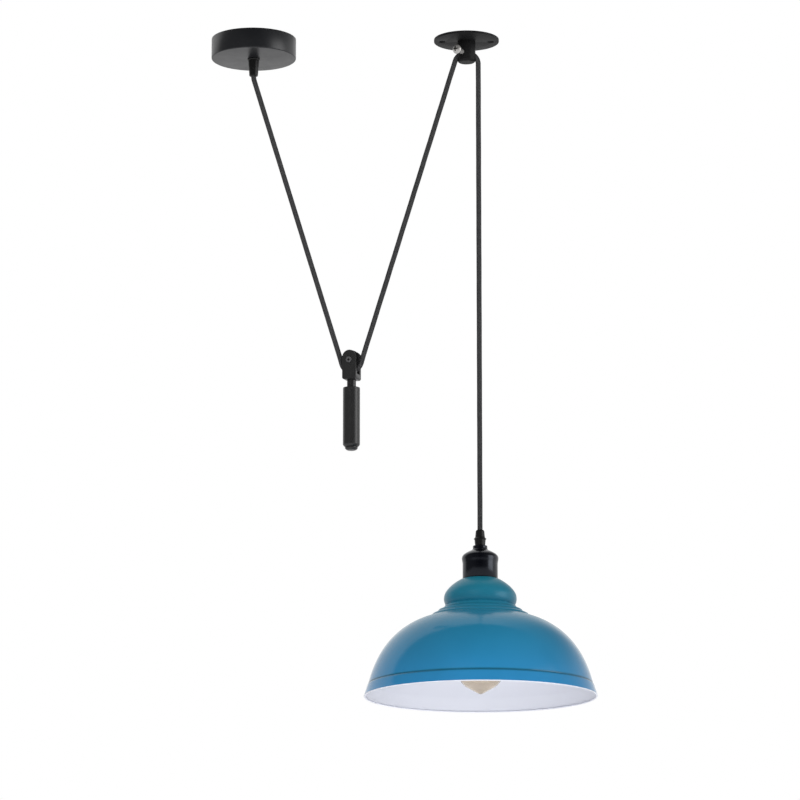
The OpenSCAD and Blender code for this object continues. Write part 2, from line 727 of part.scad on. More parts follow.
// Half outline of the holder's cover, from its collar down: [radius, height]
function cover_line() =
    let (neck = neck_d / 2, foot = [neck, -cover_top - neck_h],
         wide = [shoulder_d / 2, -cover_top - shoulder_h + 2.1],
         straight = [cover_d / 2, -cover_top - shoulder_h - 4.9],
         mid = [neck + 6.2, foot[1] - 4.8])
    concat([[neck - 1, -cover_top], [neck, -cover_top - 0.8], foot],
           bend_line(foot, foot + [0.4, -2.6], mid + [-3, 1.6], mid, 5),
           bend_line(mid, mid + [4.6, -2.4], wide + [0, 4], wide, 7),
           bend_line(wide, wide + [0, -1.6], straight + [0, 1.6], straight, 3),
           [[cover_d / 2, -shade_top]]);
module holder_cover() color("#16161c") at_lamp() {
    outer = cover_line();
    inner = [for (p = beside(outer, cover_wall)) [p[0], max(p[1], -shade_top)]];
    top_inner = [nipple_d / 2 + slack, -cover_top - cover_wall];
    inside = [for (p = inner) if (p[1] < top_inner[1] - 0.4) p];
    rotate_extrude() polygon(concat([[nipple_d / 2 + slack, -cover_top]], outer,
        backwards(inside), [[inside[0][0], top_inner[1]], top_inner]));
}

module holder_sleeve() color("#141416") at_lamp() {
    lip_d = cover_d - 2 * cover_wall - 2 * slack;
    difference() {
        union() {
            drum(sleeve_top, sleeve_top + sleeve_lip, lip_d);
            drum(sleeve_top, sleeve_base, sleeve_d);
        }
        bore(sleeve_top, sleeve_base, sleeve_bore);
    }
}
module holder_insert() color("white") at_lamp() {
    difference() {
        union() {
            drum(sleeve_top - insert_lip, sleeve_top, sleeve_d);
            drum(sleeve_top - insert_lip, insert_base, insert_d);
        }
        for (side = [-1, 1]) translate([side * holder_screw_off, 0, 0])
            drum(sleeve_top - insert_lip - cut, sleeve_top + 6, 3.2);
    }
}

module holder_screws() color("#c8a650") at_lamp() {
    for (side = [-1, 1]) translate([side * holder_screw_off, 0, 0]) difference() {
        union() {
            drum(sleeve_top - insert_lip - 2, sleeve_top - insert_lip, 5.4);
            drum(sleeve_top - insert_lip - 0.5, sleeve_top + 5, 3);
        }
        translate([-3, -0.4, 2 + insert_lip - sleeve_top - 0.8]) cube([6, 0.8, 0.8 + cut]);
    }
}
// Two cores from the nipple to the clamping screws
module holder_cores() color("#7a4a22") at_lamp() {
    for (turn = [0, 180]) rotate(turn)
        translate([1.4, 0, -cover_top - nipple_in]) sweep(refine(lamp_core_route, 2.5), core_d, 8, [0, 1, 0]);
}

module screw_shell() color("#c8a650") at_lamp() {
    difference() {
        drum(insert_base, sleeve_base, shell_d);
        drum(insert_base + shell_wall, sleeve_base + cut, shell_bore);
        bore(insert_base, insert_base + shell_wall, 14);
    }
}
module centre_contact() color("#c8a650") at_lamp() {
    drum(insert_base, contact_depth - 1, 5);
    drum(contact_depth - 1.3, contact_depth - seat, 9);
}

// Half outline of the shade, from its top down: [radius, height]
function shade_line() =
    let (top = [shade_ring_d / 2 + 0.4, -shade_top], wide = [neck_bulb_d / 2, -shade_top - neck_bulb_h + 9.4],
         pinch = [neck_bulb_d / 2 - 2.2, -shade_top - neck_bulb_h],
         steps = [for (i = [0 : 2]) for (end = [0, 1])
                  pinch + [1.4 + 7.8 * i + 1.4 * end, -1.2 - step_h * (2 * i + end)]],
         dome_top = pinch + [20, -14.6], bead = [shade_d / 2 - 5.7, -shade_rim + band_h + 0.9])
    concat([top],
           bend_line(top, top + [3.3, -1], wide + [-0.2, 11.5], wide, 9),
           bend_line(wide, wide + [0.5, -3.2], pinch + [1.6, 2.4], pinch, 5),
           steps,
           bend_line(dome_top, dome_top + [46, -14.4], bead + [-10.4, 39.5], bead, 18),
           [[shade_d / 2 - 4.8, -shade_rim + band_h - 1.1], [shade_d / 2 - 2.1, -shade_rim + 7],
            [shade_d / 2 - 0.4, -shade_rim + 1.8], [shade_d / 2, -shade_rim]]);
module shade() color("#2f83b5") at_lamp() {
    outer = shade_line();
    inner = [for (p = beside(outer, shade_wall)) [p[0], max(p[1], -shade_rim)]];
    rotate_extrude($fn = 96) polygon(concat([[shade_hole_d / 2, -shade_top]], outer,
        backwards(inner), [[shade_hole_d / 2, -shade_top - shade_wall]]));
}
module shade_ring() color("#141416") at_lamp() {
    top = shade_top + shade_wall;
    difference() {
        drum(top, top + shade_ring_h, shade_ring_d);
        bore(top, top + shade_ring_h, sleeve_d + 2 * running);
    }
}

module bulb_contact() color("silver") at_lamp() drum(contact_depth, contact_depth + 1.2, 9);
module bulb_insulator() color("#101014") at_lamp()
    taper(contact_depth + 1.2, contact_depth + 4, 14, bulb_cap_d - 3);
module bulb_cap() color("#c9c4b8") at_lamp() difference() {
    union() {
        taper(contact_depth + 4, contact_depth + 6, bulb_cap_d - 3, bulb_cap_d);
        drum(contact_depth + 6, bulb_cap_base, bulb_cap_d);
    }
    drum(contact_depth + 4 + 0.5, bulb_cap_base + cut, bulb_cap_d - 3.4);
}

// Half outline of the bulb's glass, from its neck down: [radius, height]
function bulb_line() =
    let (neck_r = bulb_cap_d / 2 - 1.9, neck = [neck_r, -glass_top], lip = [neck_r, -bulb_cap_base],
         wide = [bulb_d / 2, belly_height - bulb_tip], low = [bulb_d * 0.26, -bulb_tip + 8.2],
         tip = [2.2, -bulb_tip + 0.6])
    concat([neck, lip],
           bend_line(lip, lip + [1.6, -18], wide + [0, 24], wide, 10),
           bend_line(wide, wide + [0, -20], low + [8, 4], low, 8),
           bend_line(low, low + [-6, -3], tip + [2.4, 0.8], tip, 5));
module bulb_glass() color("#c9b48a", 0.6) at_lamp() {
    outer = bulb_line();
    inner = [for (p = beside(outer, glass_wall)) [max(p[0], 0), p[1]]];
    rotate_extrude() polygon(concat([[0, -bulb_tip]], backwards(outer),
        [[outer[0][0] - glass_wall, outer[0][1]]],
        [for (i = [1 : len(inner) - 2]) inner[i]], [[0, -bulb_tip + 2.4]]));
}
// Glass stem with the rod that carries the filament
module bulb_mount() color("#d8d4c8") at_lamp() {
    flare_d = bulb_cap_d - 3.8 - 2 * glass_wall - 2 * seat;
    flare_base = glass_top + 7;
    stem_base = flare_base + stem_l;
    taper(glass_top + 2, flare_base, flare_d, stem_d);
    taper(flare_base, stem_base, stem_d, stem_end_d);
    drum(stem_base - 0.5, cage_base + 2, mount_rod_d);
    step = 360 / filament_runs;
    mid = (step + run_lean) / 2;
    hook_r = cage_r * cos((step - run_lean) / 2) - filament_d / 2 - seat;
    for (i = [0 : filament_runs - 2]) hook(i % 2 == 0 ? cage_top : cage_base, mid + step * i, hook_r);
    for (a = [0, -step + run_lean]) hook(cage_base, a, cage_r - filament_d / 2 - seat);
}
// Wire from the rod out to the filament
module hook(depth, angle, reach) {
    translate([0, 0, -depth]) rotate(angle) rotate([0, 90, 0]) cylinder(d = 0.8, h = reach);
}
// Zigzag wire round a cage, its two ends drawn in to the stem
module bulb_filament() color("#d08a3a") at_lamp() {
    corners = [for (i = [0 : filament_runs - 1]) for (end = [0, 1])
        let (a = 360 * i / filament_runs, low = (i + end) % 2 == 0)
        [cage_r * cos(a + run_lean * end), cage_r * sin(a + run_lean * end), low ? -cage_base : -cage_top]];
    sweep(corners, filament_d, 6, [0, 0, 1]);
}

suspension_plate();
cord_boss();
boss_screw();
rose_cover();
rose_bracket();
rose_nipple();
rose_nipple_nut();
rose_grip_flange();
rose_grip_cone();
rose_grip_collet();
terminal_block();
clamp_screws();
block_screw();
earth_lug();
earth_screw();
core_live();
core_neutral();
core_earth();
flex_rose_tail();
flex_left_leg();
flex_right_leg();
flex_arch();
flex_drop();
lock_screw();
pulley_block();
axle_screw();
axle_nut();
weight_collar();
weight_rod();
counterweight();
weight_cap();
flex_wrap();
sheave();
sheave_bush();
lamp_grip();
lamp_grip_collet();
flex_lamp_tail();
holder_nipple();
holder_nut();
holder_cover();
holder_sleeve();
holder_insert();
holder_screws();
holder_cores();
screw_shell();
centre_contact();
shade();
shade_ring();
bulb_cap();
bulb_insulator();
bulb_contact();
bulb_glass();
bulb_mount();
bulb_filament();
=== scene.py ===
# Looks of the rise and fall pendant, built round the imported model. Metres, +Z up.
import math

import bmesh
import bpy
from mathutils import Matrix, Vector
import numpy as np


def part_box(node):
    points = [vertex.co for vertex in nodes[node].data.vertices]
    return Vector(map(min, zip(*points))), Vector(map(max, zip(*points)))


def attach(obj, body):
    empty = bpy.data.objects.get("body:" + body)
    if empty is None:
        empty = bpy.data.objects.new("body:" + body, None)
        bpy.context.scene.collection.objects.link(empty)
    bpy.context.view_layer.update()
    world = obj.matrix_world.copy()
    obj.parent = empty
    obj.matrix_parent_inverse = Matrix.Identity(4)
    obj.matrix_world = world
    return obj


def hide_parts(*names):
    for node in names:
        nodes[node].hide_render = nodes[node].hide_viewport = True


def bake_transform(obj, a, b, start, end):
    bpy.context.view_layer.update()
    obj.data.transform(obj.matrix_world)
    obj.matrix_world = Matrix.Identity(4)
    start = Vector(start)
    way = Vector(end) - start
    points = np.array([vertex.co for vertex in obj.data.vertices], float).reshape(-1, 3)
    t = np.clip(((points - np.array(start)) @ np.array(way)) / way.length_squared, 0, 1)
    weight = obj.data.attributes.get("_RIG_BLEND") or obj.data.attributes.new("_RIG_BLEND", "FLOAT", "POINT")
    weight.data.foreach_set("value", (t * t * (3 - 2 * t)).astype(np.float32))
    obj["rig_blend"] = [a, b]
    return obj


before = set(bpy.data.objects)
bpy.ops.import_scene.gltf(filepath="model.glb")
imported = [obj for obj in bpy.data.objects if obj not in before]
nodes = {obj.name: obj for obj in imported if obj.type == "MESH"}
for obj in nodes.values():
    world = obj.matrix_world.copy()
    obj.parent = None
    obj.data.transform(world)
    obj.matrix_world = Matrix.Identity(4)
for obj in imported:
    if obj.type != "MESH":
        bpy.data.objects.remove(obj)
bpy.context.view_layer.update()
mm = 0.001
print("frame loaded,", len(nodes), "nodes")


# Places, read from the frame

def middleOf(nodeName):
    low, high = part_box(nodeName)
    return (low + high) / 2


def topOf(nodeName):
    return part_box(nodeName)[1].z


def footOf(nodeName):
    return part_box(nodeName)[0].z


def widthOf(nodeName):
    low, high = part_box(nodeName)
    return high.x - low.x


roseX = middleOf("rose_cover").x
weightX = middleOf("counterweight").x
lampX = middleOf("holder_sleeve").x
blockTurn = -math.radians(21)  # the block is turned about its own vertical


# Camera

cameraLook = {
    "place": (-0.085, -5.294, -1.582),
    "lookUp": 11.85,       # degrees
    "lens": 193.6,         # millimetres
}


def makeCamera():
    data = bpy.data.cameras.new("camera")
    data.lens = cameraLook["lens"]
    data.sensor_width = 36
    data.clip_start = 0.05
    data.clip_end = 60
    camera = bpy.data.objects.new("camera", data)
    camera.location = cameraLook["place"]
    camera.rotation_euler = (math.radians(90 + cameraLook["lookUp"]), 0, 0)
    bpy.context.scene.collection.objects.link(camera)
    bpy.context.scene.camera = camera


makeCamera()
bpy.context.scene.view_settings.view_transform = "Standard"


# Node helpers for the finishes

def plug(tree, socket, value):
    # links a socket, or sets a constant
    if isinstance(value, bpy.types.NodeSocket):
        tree.links.new(value, socket)
    else:
        socket.default_value = value


def wired(tree, kind, inputs, **settings):
    # a new node in the tree, with its settings and inputs
    node = tree.nodes.new(kind)
    for key, value in settings.items():
        setattr(node, key, value)
    for key, value in inputs.items():
        plug(tree, node.inputs[key], value)
    return node


class Finish:
    # one material and short ways to wire it
    def __init__(self, name):
        self.material = bpy.data.materials.new(name)
        self.material.use_nodes = True
        self.tree = self.material.node_tree
        self.shader = self.tree.nodes["Principled BSDF"]
        self.coords = self.add("ShaderNodeTexCoord")

    def add(self, kind, inputs=None, **settings):
        return wired(self.tree, kind, inputs or {}, **settings)

    def set(self, **values):
        for key, value in values.items():
            plug(self.tree, self.shader.inputs[key.replace("_", " ")], value)

    def stretched(self, scale):
        node = self.add("ShaderNodeMapping", {"Vector": self.coords.outputs["Object"], "Scale": scale})
        return node.outputs["Vector"]

    def noise(self, scale, detail=2.0, rough=0.5, vector=None):
        node = self.add("ShaderNodeTexNoise", {"Vector": vector or self.coords.outputs["Object"],
                                               "Scale": scale, "Detail": detail, "Roughness": rough})
        return node.outputs["Fac"]

    def cells(self, scale):
        node = self.add("ShaderNodeTexVoronoi", {"Vector": self.coords.outputs["Object"], "Scale": scale})
        return node.outputs["Distance"]

    def math(self, operation, a, b=0.0):
        return self.add("ShaderNodeMath", {0: a, 1: b}, operation=operation).outputs[0]

    def remap(self, value, low, high, newLow, newHigh):
        node = self.add("ShaderNodeMapRange", {"Value": value, "From Min": low, "From Max": high,
                                               "To Min": newLow, "To Max": newHigh})
        return node.outputs["Result"]

    def blend(self, amount, first, second):
        # first and second are colours, as three numbers or as a socket
        colours = [c if isinstance(c, bpy.types.NodeSocket) else (*c, 1.0) for c in (first, second)]
        node = self.add("ShaderNodeMix", {0: amount, 6: colours[0], 7: colours[1]}, data_type="RGBA")
        return node.outputs[2]

    def bump(self, height, distance):
        node = self.add("ShaderNodeBump", {"Height": height, "Distance": distance, "Strength": 1.0})
        return node.outputs["Normal"]


def powderCoat(name, dark, light, gloss, specular, peel=6e-6, tint=(1, 1, 1)):
    # satin paint: a fine orange peel, soft mottling and a few pits
    grain, pitShare = 1900.0, 0.25
    finish = Finish(name)
    mottle = finish.noise(38.0, 3.0, 0.6)
    pits = finish.remap(finish.cells(grain * 0.7), 0.0, 0.16, -1.0, 0.0)
    height = finish.math("ADD", finish.noise(grain, 2.0, 0.55), finish.math("MULTIPLY", pits, pitShare))
    finish.set(Base_Color=finish.blend(mottle, dark, light),
               Roughness=finish.remap(mottle, 0.3, 0.7, gloss - 0.035, gloss + 0.045),
               Normal=finish.bump(height, peel), Specular_IOR_Level=specular, Specular_Tint=(*tint, 1))
    return finish.material


def enamelOutside():
    # glossy blue enamel, greener and darker towards the neck as a painted reflection, and darker in the
    # groove and over the steps as painted shade
    look = {"rim": (0.030, 0.250, 0.535), "neck": (0.012, 0.190, 0.265), "pooled": (0.004, 0.090, 0.125),
            "cloudy": (0.008, 0.13, 0.24), "speck": (0.01, 0.06, 0.12), "gloss": 0.12, "softNeck": 0.22}
    # painted shade in the groove and over the three steps: depth below the top and reach in millimetres, and
    # weight
    grooveShade = ((132.6, 2.3, 0.85), (36.4, 0.8, 0.5), (41.6, 0.8, 0.5), (46.6, 0.8, 0.5))
    top = topOf("shade")
    finish = Finish("blueEnamel")
    height = finish.add("ShaderNodeSeparateXYZ", {0: finish.coords.outputs["Object"]}).outputs["Z"]
    share = finish.remap(height, footOf("shade"), top, 0.0, 1.0)
    cloud = finish.noise(9.0, 3.0, 0.55)
    # painted reflection: the colour runs from the rim's blue to a darker, greener tone at the neck
    base = finish.blend(finish.math("POWER", share, 0.75), look["rim"], look["neck"])
    deep = finish.blend(finish.remap(cloud, 0.35, 0.7, 0.0, 0.22), base, look["cloudy"])
    depth = finish.math("SUBTRACT", top, height)
    # painted shade: the colour darkens in the groove and over each step
    for middle, reach, weight in grooveShade:
        away = finish.math("ABSOLUTE", finish.math("SUBTRACT", depth, middle * mm))
        deep = finish.blend(finish.remap(away, 0.0, reach * mm, weight, 0.0), deep, look["pooled"])
    specks = finish.remap(finish.cells(420.0), 0.0, 0.07, 1.0, 0.0)
    speckled = finish.blend(finish.math("MULTIPLY", specks, 0.16), deep, look["speck"])
    peel = finish.noise(170.0, 2.0, 0.45)
    ripple = finish.noise(26.0, 2.0, 0.5)
    waves = finish.math("ADD", finish.math("MULTIPLY", peel, 0.18), ripple)
    gloss = finish.math("ADD", finish.remap(cloud, 0.3, 0.7, look["gloss"] - 0.02, look["gloss"] + 0.04),
                        finish.remap(share, 0.5, 0.72, 0.0, look["softNeck"]))
    finish.set(Base_Color=speckled, Roughness=gloss, Normal=finish.bump(waves, 0.0002),
               Specular_IOR_Level=0.26, Coat_Weight=0.03, Coat_Roughness=0.06)
    return finish.material


def enamelInside():
    finish = Finish("whiteEnamel")
    cloud = finish.noise(18.0, 3.0, 0.6)
    base = finish.blend(cloud, (0.765, 0.785, 0.865), (0.785, 0.805, 0.88))
    specks = finish.remap(finish.cells(300.0), 0.0, 0.055, 1.0, 0.0)
    finish.set(Base_Color=finish.blend(finish.math("MULTIPLY", specks, 0.2), base, (0.35, 0.36, 0.40)),
               Roughness=finish.remap(cloud, 0.3, 0.7, 0.40, 0.46),
               Normal=finish.bump(finish.noise(160.0, 2.0, 0.5), 0.00001), Specular_IOR_Level=0.3)
    return finish.material


def turnedMetal(name, dark, light, gloss, metallic=1.0, pitch=2600.0, axis="Z", depth=4e-6):
    # fine tool marks in rings round the axis, and soft staining
    finish = Finish(name)
    marks = finish.noise(1.0, 2.0, 0.6, finish.stretched((60, pitch, 60) if axis == "Y" else (60, 60, pitch)))
    stain = finish.noise(70.0, 4.0, 0.6)
    wear = finish.math("ADD", marks, stain)
    finish.set(Base_Color=finish.blend(stain, dark, light),
               Roughness=finish.remap(wear, 0.6, 1.4, gloss - 0.06, gloss + 0.08),
               Normal=finish.bump(marks, depth), Metallic=metallic)
    return finish.material


def mouldedPlastic(name, dark, light, gloss, grain=1400.0, depth=9e-6, specular=0.4):
    finish = Finish(name)
    cloud = finish.noise(90.0, 3.0, 0.5)
    finish.set(Base_Color=finish.blend(cloud, dark, light),
               Roughness=finish.remap(cloud, 0.3, 0.7, gloss - 0.04, gloss + 0.05),
               Normal=finish.bump(finish.noise(grain, 2.0, 0.6), depth), Specular_IOR_Level=specular)
    return finish.material


def earthStripe():
    # green insulation with a yellow stripe along it
    finish = Finish("earthStripe")
    wave = finish.add("ShaderNodeTexWave", {"Vector": finish.coords.outputs["Object"], "Scale": 420.0,
                                            "Distortion": 1.5, "Detail": 1.0}, bands_direction="X")
    stripe = finish.remap(wave.outputs["Fac"], 0.44, 0.56, 0.0, 1.0)
    finish.set(Base_Color=finish.blend(stripe, (0.035, 0.22, 0.05), (0.62, 0.52, 0.03)),
               Roughness=finish.remap(finish.noise(400.0), 0.3, 0.7, 0.32, 0.42),
               Normal=finish.bump(finish.noise(1500.0), 5e-6))
    return finish.material


def tintedGlass(name, tint, waviness):
    finish = Finish(name)
    gloss, paler = 0.02, 1.05
    cloud = finish.noise(30.0, 2.0, 0.5)
    finish.set(Base_Color=finish.blend(cloud, tint, tuple(min(1.0, c * paler) for c in tint)),
               Roughness=finish.remap(cloud, 0.3, 0.7, gloss, gloss + 0.02),
               Normal=finish.bump(finish.noise(22.0, 1.0), waviness), Transmission_Weight=1.0, IOR=1.45)
    return finish.material


roseBlack = powderCoat("roseBlack", (0.0085, 0.009, 0.0105), (0.0125, 0.013, 0.015), 0.34, 0.42)
plateBlack = powderCoat("plateBlack", (0.0085, 0.0085, 0.0088), (0.013, 0.013, 0.0135), 0.50, 0.1)
holderBlack = powderCoat("holderBlack", (0.002, 0.0021, 0.0036), (0.0034, 0.0036, 0.006), 0.20, 0.38,
                         peel=1.5e-6, tint=(0.80, 0.87, 1.0))
blockBlack = powderCoat("blockBlack", (0.0165, 0.0165, 0.0167), (0.023, 0.023, 0.0233), 0.30, 0.36,
                        peel=2.5e-6)
gripBlack = mouldedPlastic("gripBlack", (0.005, 0.005, 0.005), (0.0085, 0.0085, 0.0085), 0.40,
                           specular=0.25)
ringBlack = mouldedPlastic("ringBlack", (0.008, 0.0075, 0.007), (0.014, 0.013, 0.0125), 0.26)
sheathBlack = mouldedPlastic("sheathBlack", (0.012, 0.012, 0.012), (0.02, 0.02, 0.02), 0.5)
pulleyBlack = turnedMetal("pulleyBlack", (0.028, 0.028, 0.03), (0.048, 0.048, 0.05), 0.30, 0.85, axis="Y")
darkScrew = turnedMetal("darkScrew", (0.085, 0.085, 0.088), (0.15, 0.15, 0.155), 0.36, 0.35, axis="Y")
# painted shade for the faces down in screw recesses
recessShadeSteel = turnedMetal("recessShadeSteel", (0.016, 0.015, 0.014), (0.036, 0.034, 0.032), 0.55, 0.6)
wornSteel = turnedMetal("wornSteel", (0.22, 0.21, 0.20), (0.74, 0.73, 0.71), 0.36, 0.55, pitch=1500.0,
                        depth=1.4e-5)
zincSteel = turnedMetal("zincSteel", (0.50, 0.50, 0.49), (0.66, 0.66, 0.65), 0.34, pitch=900.0)
warmBrass = turnedMetal("warmBrass", (0.66, 0.46, 0.17), (0.80, 0.60, 0.27), 0.26)
ivoryNylon = mouldedPlastic("ivoryNylon", (0.72, 0.68, 0.56), (0.80, 0.77, 0.66), 0.42)
porcelain = mouldedPlastic("porcelain", (0.80, 0.79, 0.75), (0.86, 0.85, 0.82), 0.16, grain=300.0,
                           depth=2e-5)
brownCore = mouldedPlastic("brownCore", (0.13, 0.05, 0.02), (0.19, 0.08, 0.035), 0.36)
blueCore = mouldedPlastic("blueCore", (0.02, 0.10, 0.42), (0.035, 0.15, 0.52), 0.36)
greenCore = earthStripe()
blueEnamel = enamelOutside()
whiteEnamel = enamelInside()
capMetal = turnedMetal("capMetal", (0.66, 0.64, 0.60), (0.80, 0.78, 0.74), 0.30)
capGlass = mouldedPlastic("capGlass", (0.008, 0.007, 0.012), (0.018, 0.016, 0.024), 0.10, depth=3e-6)
amberGlass = tintedGlass("amberGlass", (0.82, 0.745, 0.64), 0.00012)
clearGlass = tintedGlass("clearGlass", (0.92, 0.93, 0.91), 0.0002)
filamentWire = turnedMetal("filamentWire", (0.62, 0.30, 0.10), (0.80, 0.46, 0.18), 0.35, pitch=5000.0)
print("finishes made")


# Shape helpers

def bezier(a, b, c, d, parts):
    # points on the curve from a to d, without a
    points = []
    for i in range(1, parts + 1):
        t = i / parts
        s = 1 - t
        points.append(tuple(s ** 3 * p + 3 * s * s * t * q + 3 * s * t * t * u + t ** 3 * v
                            for p, q, u, v in zip(a, b, c, d)))
    return points


def roundCorner(centre, radius, degrees):
    return [(centre[0] + radius * math.cos(math.radians(a)), centre[1] + radius * math.sin(math.radians(a)))
            for a in degrees]


def eased(line, reach, parts=4, closed=True):
    # every corner of the outline becomes a short curve, which leaves the middle of each edge straight
    mostOfEdge = 0.45
    soft = []
    count = len(line)
    for i, corner in enumerate(line):
        if not closed and i in (0, count - 1):
            soft.append(corner)
            continue
        here = Vector(corner)
        before, after = Vector(line[i - 1]) - here, Vector(line[(i + 1) % count]) - here
        start = here + before.normalized() * min(reach, before.length * mostOfEdge)
        end = here + after.normalized() * min(reach, after.length * mostOfEdge)
        for k in range(parts + 1):
            t = k / parts
            soft.append(tuple((1 - t) ** 2 * start + 2 * t * (1 - t) * here + t * t * end))
    return soft


def movedSideways(line, reach):
    # the same line further to one side, without its ends
    moved = []
    for before, here, after in zip(line, line[1:], line[2:]):
        along = (Vector(after) - Vector(before)).normalized()
        moved.append((here[0] - reach * along.y, here[1] + reach * along.x))
    return moved


def turned(outline, axisX, steps=96):
    # spins a closed outline of (radius, height) about an upright axis
    bm = bmesh.new()
    corners = [bm.verts.new((axisX + radius, 0, height)) for radius, height in outline]
    edges = [bm.edges.new(pair) for pair in zip(corners, corners[1:] + corners[:1])]
    bmesh.ops.spin(bm, geom=corners + edges, cent=(axisX, 0, 0), axis=(0, 0, 1), angle=2 * math.pi,
                   steps=steps, use_merge=True)
    return bm


def turnedBelow(top, outline, axisX, steps=96):
    # the same for an outline of (radius, depth below the top) in millimetres
    return turned([(radius * mm, top - depth * mm) for radius, depth in outline], axisX, steps)


def helix(bm, axisX, start, root, crest, pitch, turns, steps=36):
    # one screw thread, its foot sunk in the core that carries it
    foot = root - 0.25 * (crest - root)
    footHalf, crestHalf = pitch * 0.48, pitch * 0.08
    profile = [(foot, start + footHalf), (crest, start + crestHalf), (crest, start - crestHalf),
               (foot, start - footHalf)]
    corners = [bm.verts.new((axisX + radius, 0, height)) for radius, height in profile]
    firstFace = bm.faces.new(corners)
    bmesh.ops.spin(bm, geom=[firstFace, *firstFace.edges, *corners], cent=(axisX, 0, 0), axis=(0, 0, 1),
                   dvec=(0, 0, -pitch / steps), angle=2 * math.pi * turns, steps=int(steps * turns),
                   use_duplicate=False)


def tidyMesh(bm):
    bmesh.ops.remove_doubles(bm, verts=bm.verts, dist=2e-6)
    bmesh.ops.dissolve_degenerate(bm, dist=1e-6, edges=bm.edges)
    bmesh.ops.recalc_face_normals(bm, faces=bm.faces)


def camel(nodeName):
    first, *rest = nodeName.split("_")
    return first + "".join(word.capitalize() for word in rest)


def show(nodeName, bm, body, finishes, sharp=38.0, name=None):
    # makes the mesh a piece that stands for the node; body is None where a blend comes later
    name = name or camel(nodeName)
    mesh = bpy.data.meshes.new(name)
    bm.to_mesh(mesh)
    bm.free()
    for finish in finishes:
        mesh.materials.append(finish)
    mesh.shade_smooth()
    mesh.set_sharp_from_angle(angle=math.radians(sharp))
    piece = bpy.data.objects.new(name, mesh)
    bpy.context.scene.collection.objects.link(piece)
    if body:
        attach(piece, body)
    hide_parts(nodeName)
    return piece


def showTurned(nodeName, bm, body, finish, sharp=38.0):
    tidyMesh(bm)
    show(nodeName, bm, body, [finish], sharp)


def copyOf(nodeName, edgeWidth, segments=2):
    # the node's own solid, merged, with its crisp edges softened
    crispAngle = math.radians(30)
    bm = bmesh.new()
    bm.from_mesh(nodes[nodeName].data)
    bmesh.ops.remove_doubles(bm, verts=bm.verts, dist=1e-6)
    bmesh.ops.dissolve_limit(bm, angle_limit=math.radians(0.4), use_dissolve_boundaries=False,
                             verts=bm.verts, edges=bm.edges)
    if edgeWidth:
        crisp = [edge for edge in bm.edges
                 if len(edge.link_faces) == 2 and edge.calc_face_angle(0.0) > crispAngle]
        bmesh.ops.bevel(bm, geom=crisp, offset=edgeWidth, offset_type="OFFSET", affect="EDGES",
                        segments=segments, profile=0.5, material=-1, clamp_overlap=True)
    return bm


def dress(nodeName, body, finish, edgeWidth=0.2, segments=2):
    # edgeWidth in millimetres
    show(nodeName, copyOf(nodeName, edgeWidth * mm, segments), body, [finish])


def headTopOf(nodeName, outward, onAxis):
    # the middle of the screw head's outer face
    tip = max(corner.co.dot(outward) for corner in nodes[nodeName].data.vertices)
    return onAxis + outward * (tip - onAxis.dot(outward))


def dressScrew(nodeName, body, finish, headTop, outward, reach, depth, edgeWidth):
    # the faces down in the driver recess get a darker finish of their own, painted shade
    lip, slack, wallSlope = 0.25 * mm, 0.3 * mm, 0.4
    bm = copyOf(nodeName, edgeWidth, 3)
    bm.normal_update()
    for face in bm.faces:
        arm = face.calc_center_median() - headTop
        along = arm.dot(outward)
        across = (arm - outward * along).length
        sunk = -depth - slack < along < -lip and across < reach
        floorOrWall = along < -depth + slack or abs(face.normal.dot(outward)) < wallSlope
        face.material_index = 1 if sunk and floorOrWall else 0
    show(nodeName, bm, body, [finish, recessShadeSteel])


# Flex: the cords come first

flexLook = {
    "diameter": 0.0065,
    "sides": 32,
    "ringGap": 0.00065,
    "softPasses": 6,
    "plaits": 8,           # round the flex
    "yarns": 5,            # in each plait
    "pitch": 0.0026,
    "relief": 0.00016,
}
# Middle lines, the same as in the solids
leftLeg = [(-0.1581, 0.0046, -0.4249), (-0.1608, 0.0056, -0.4153), (-0.1975, 0.0038, -0.2953),
           (-0.2342, 0.0019, -0.1753), (-0.2704, 0.0001, -0.057), (-0.2716, 0, -0.053),
           (-0.272, 0, -0.0506), (-0.272, 0, -0.0484)]
rightLeg = [(-0.1339, -0.0046, -0.4249), (-0.1312, -0.0056, -0.4153), (-0.0922, -0.0037, -0.2862),
            (-0.0533, -0.0018, -0.1571), (-0.0144, 0, -0.0281)]
dropLine = [(0.015, 0, -0.0324), (0.015, 0, -0.6374)]
archLook = {"centre": (0, 0, -0.0324), "radius": 0.015, "start": 0.0, "end": 163.2, "parts": 24}
wrapLook = {"centre": (-0.146, 0, -0.421), "radius": 0.0135, "start": 196.8, "end": 343.2, "parts": 22}


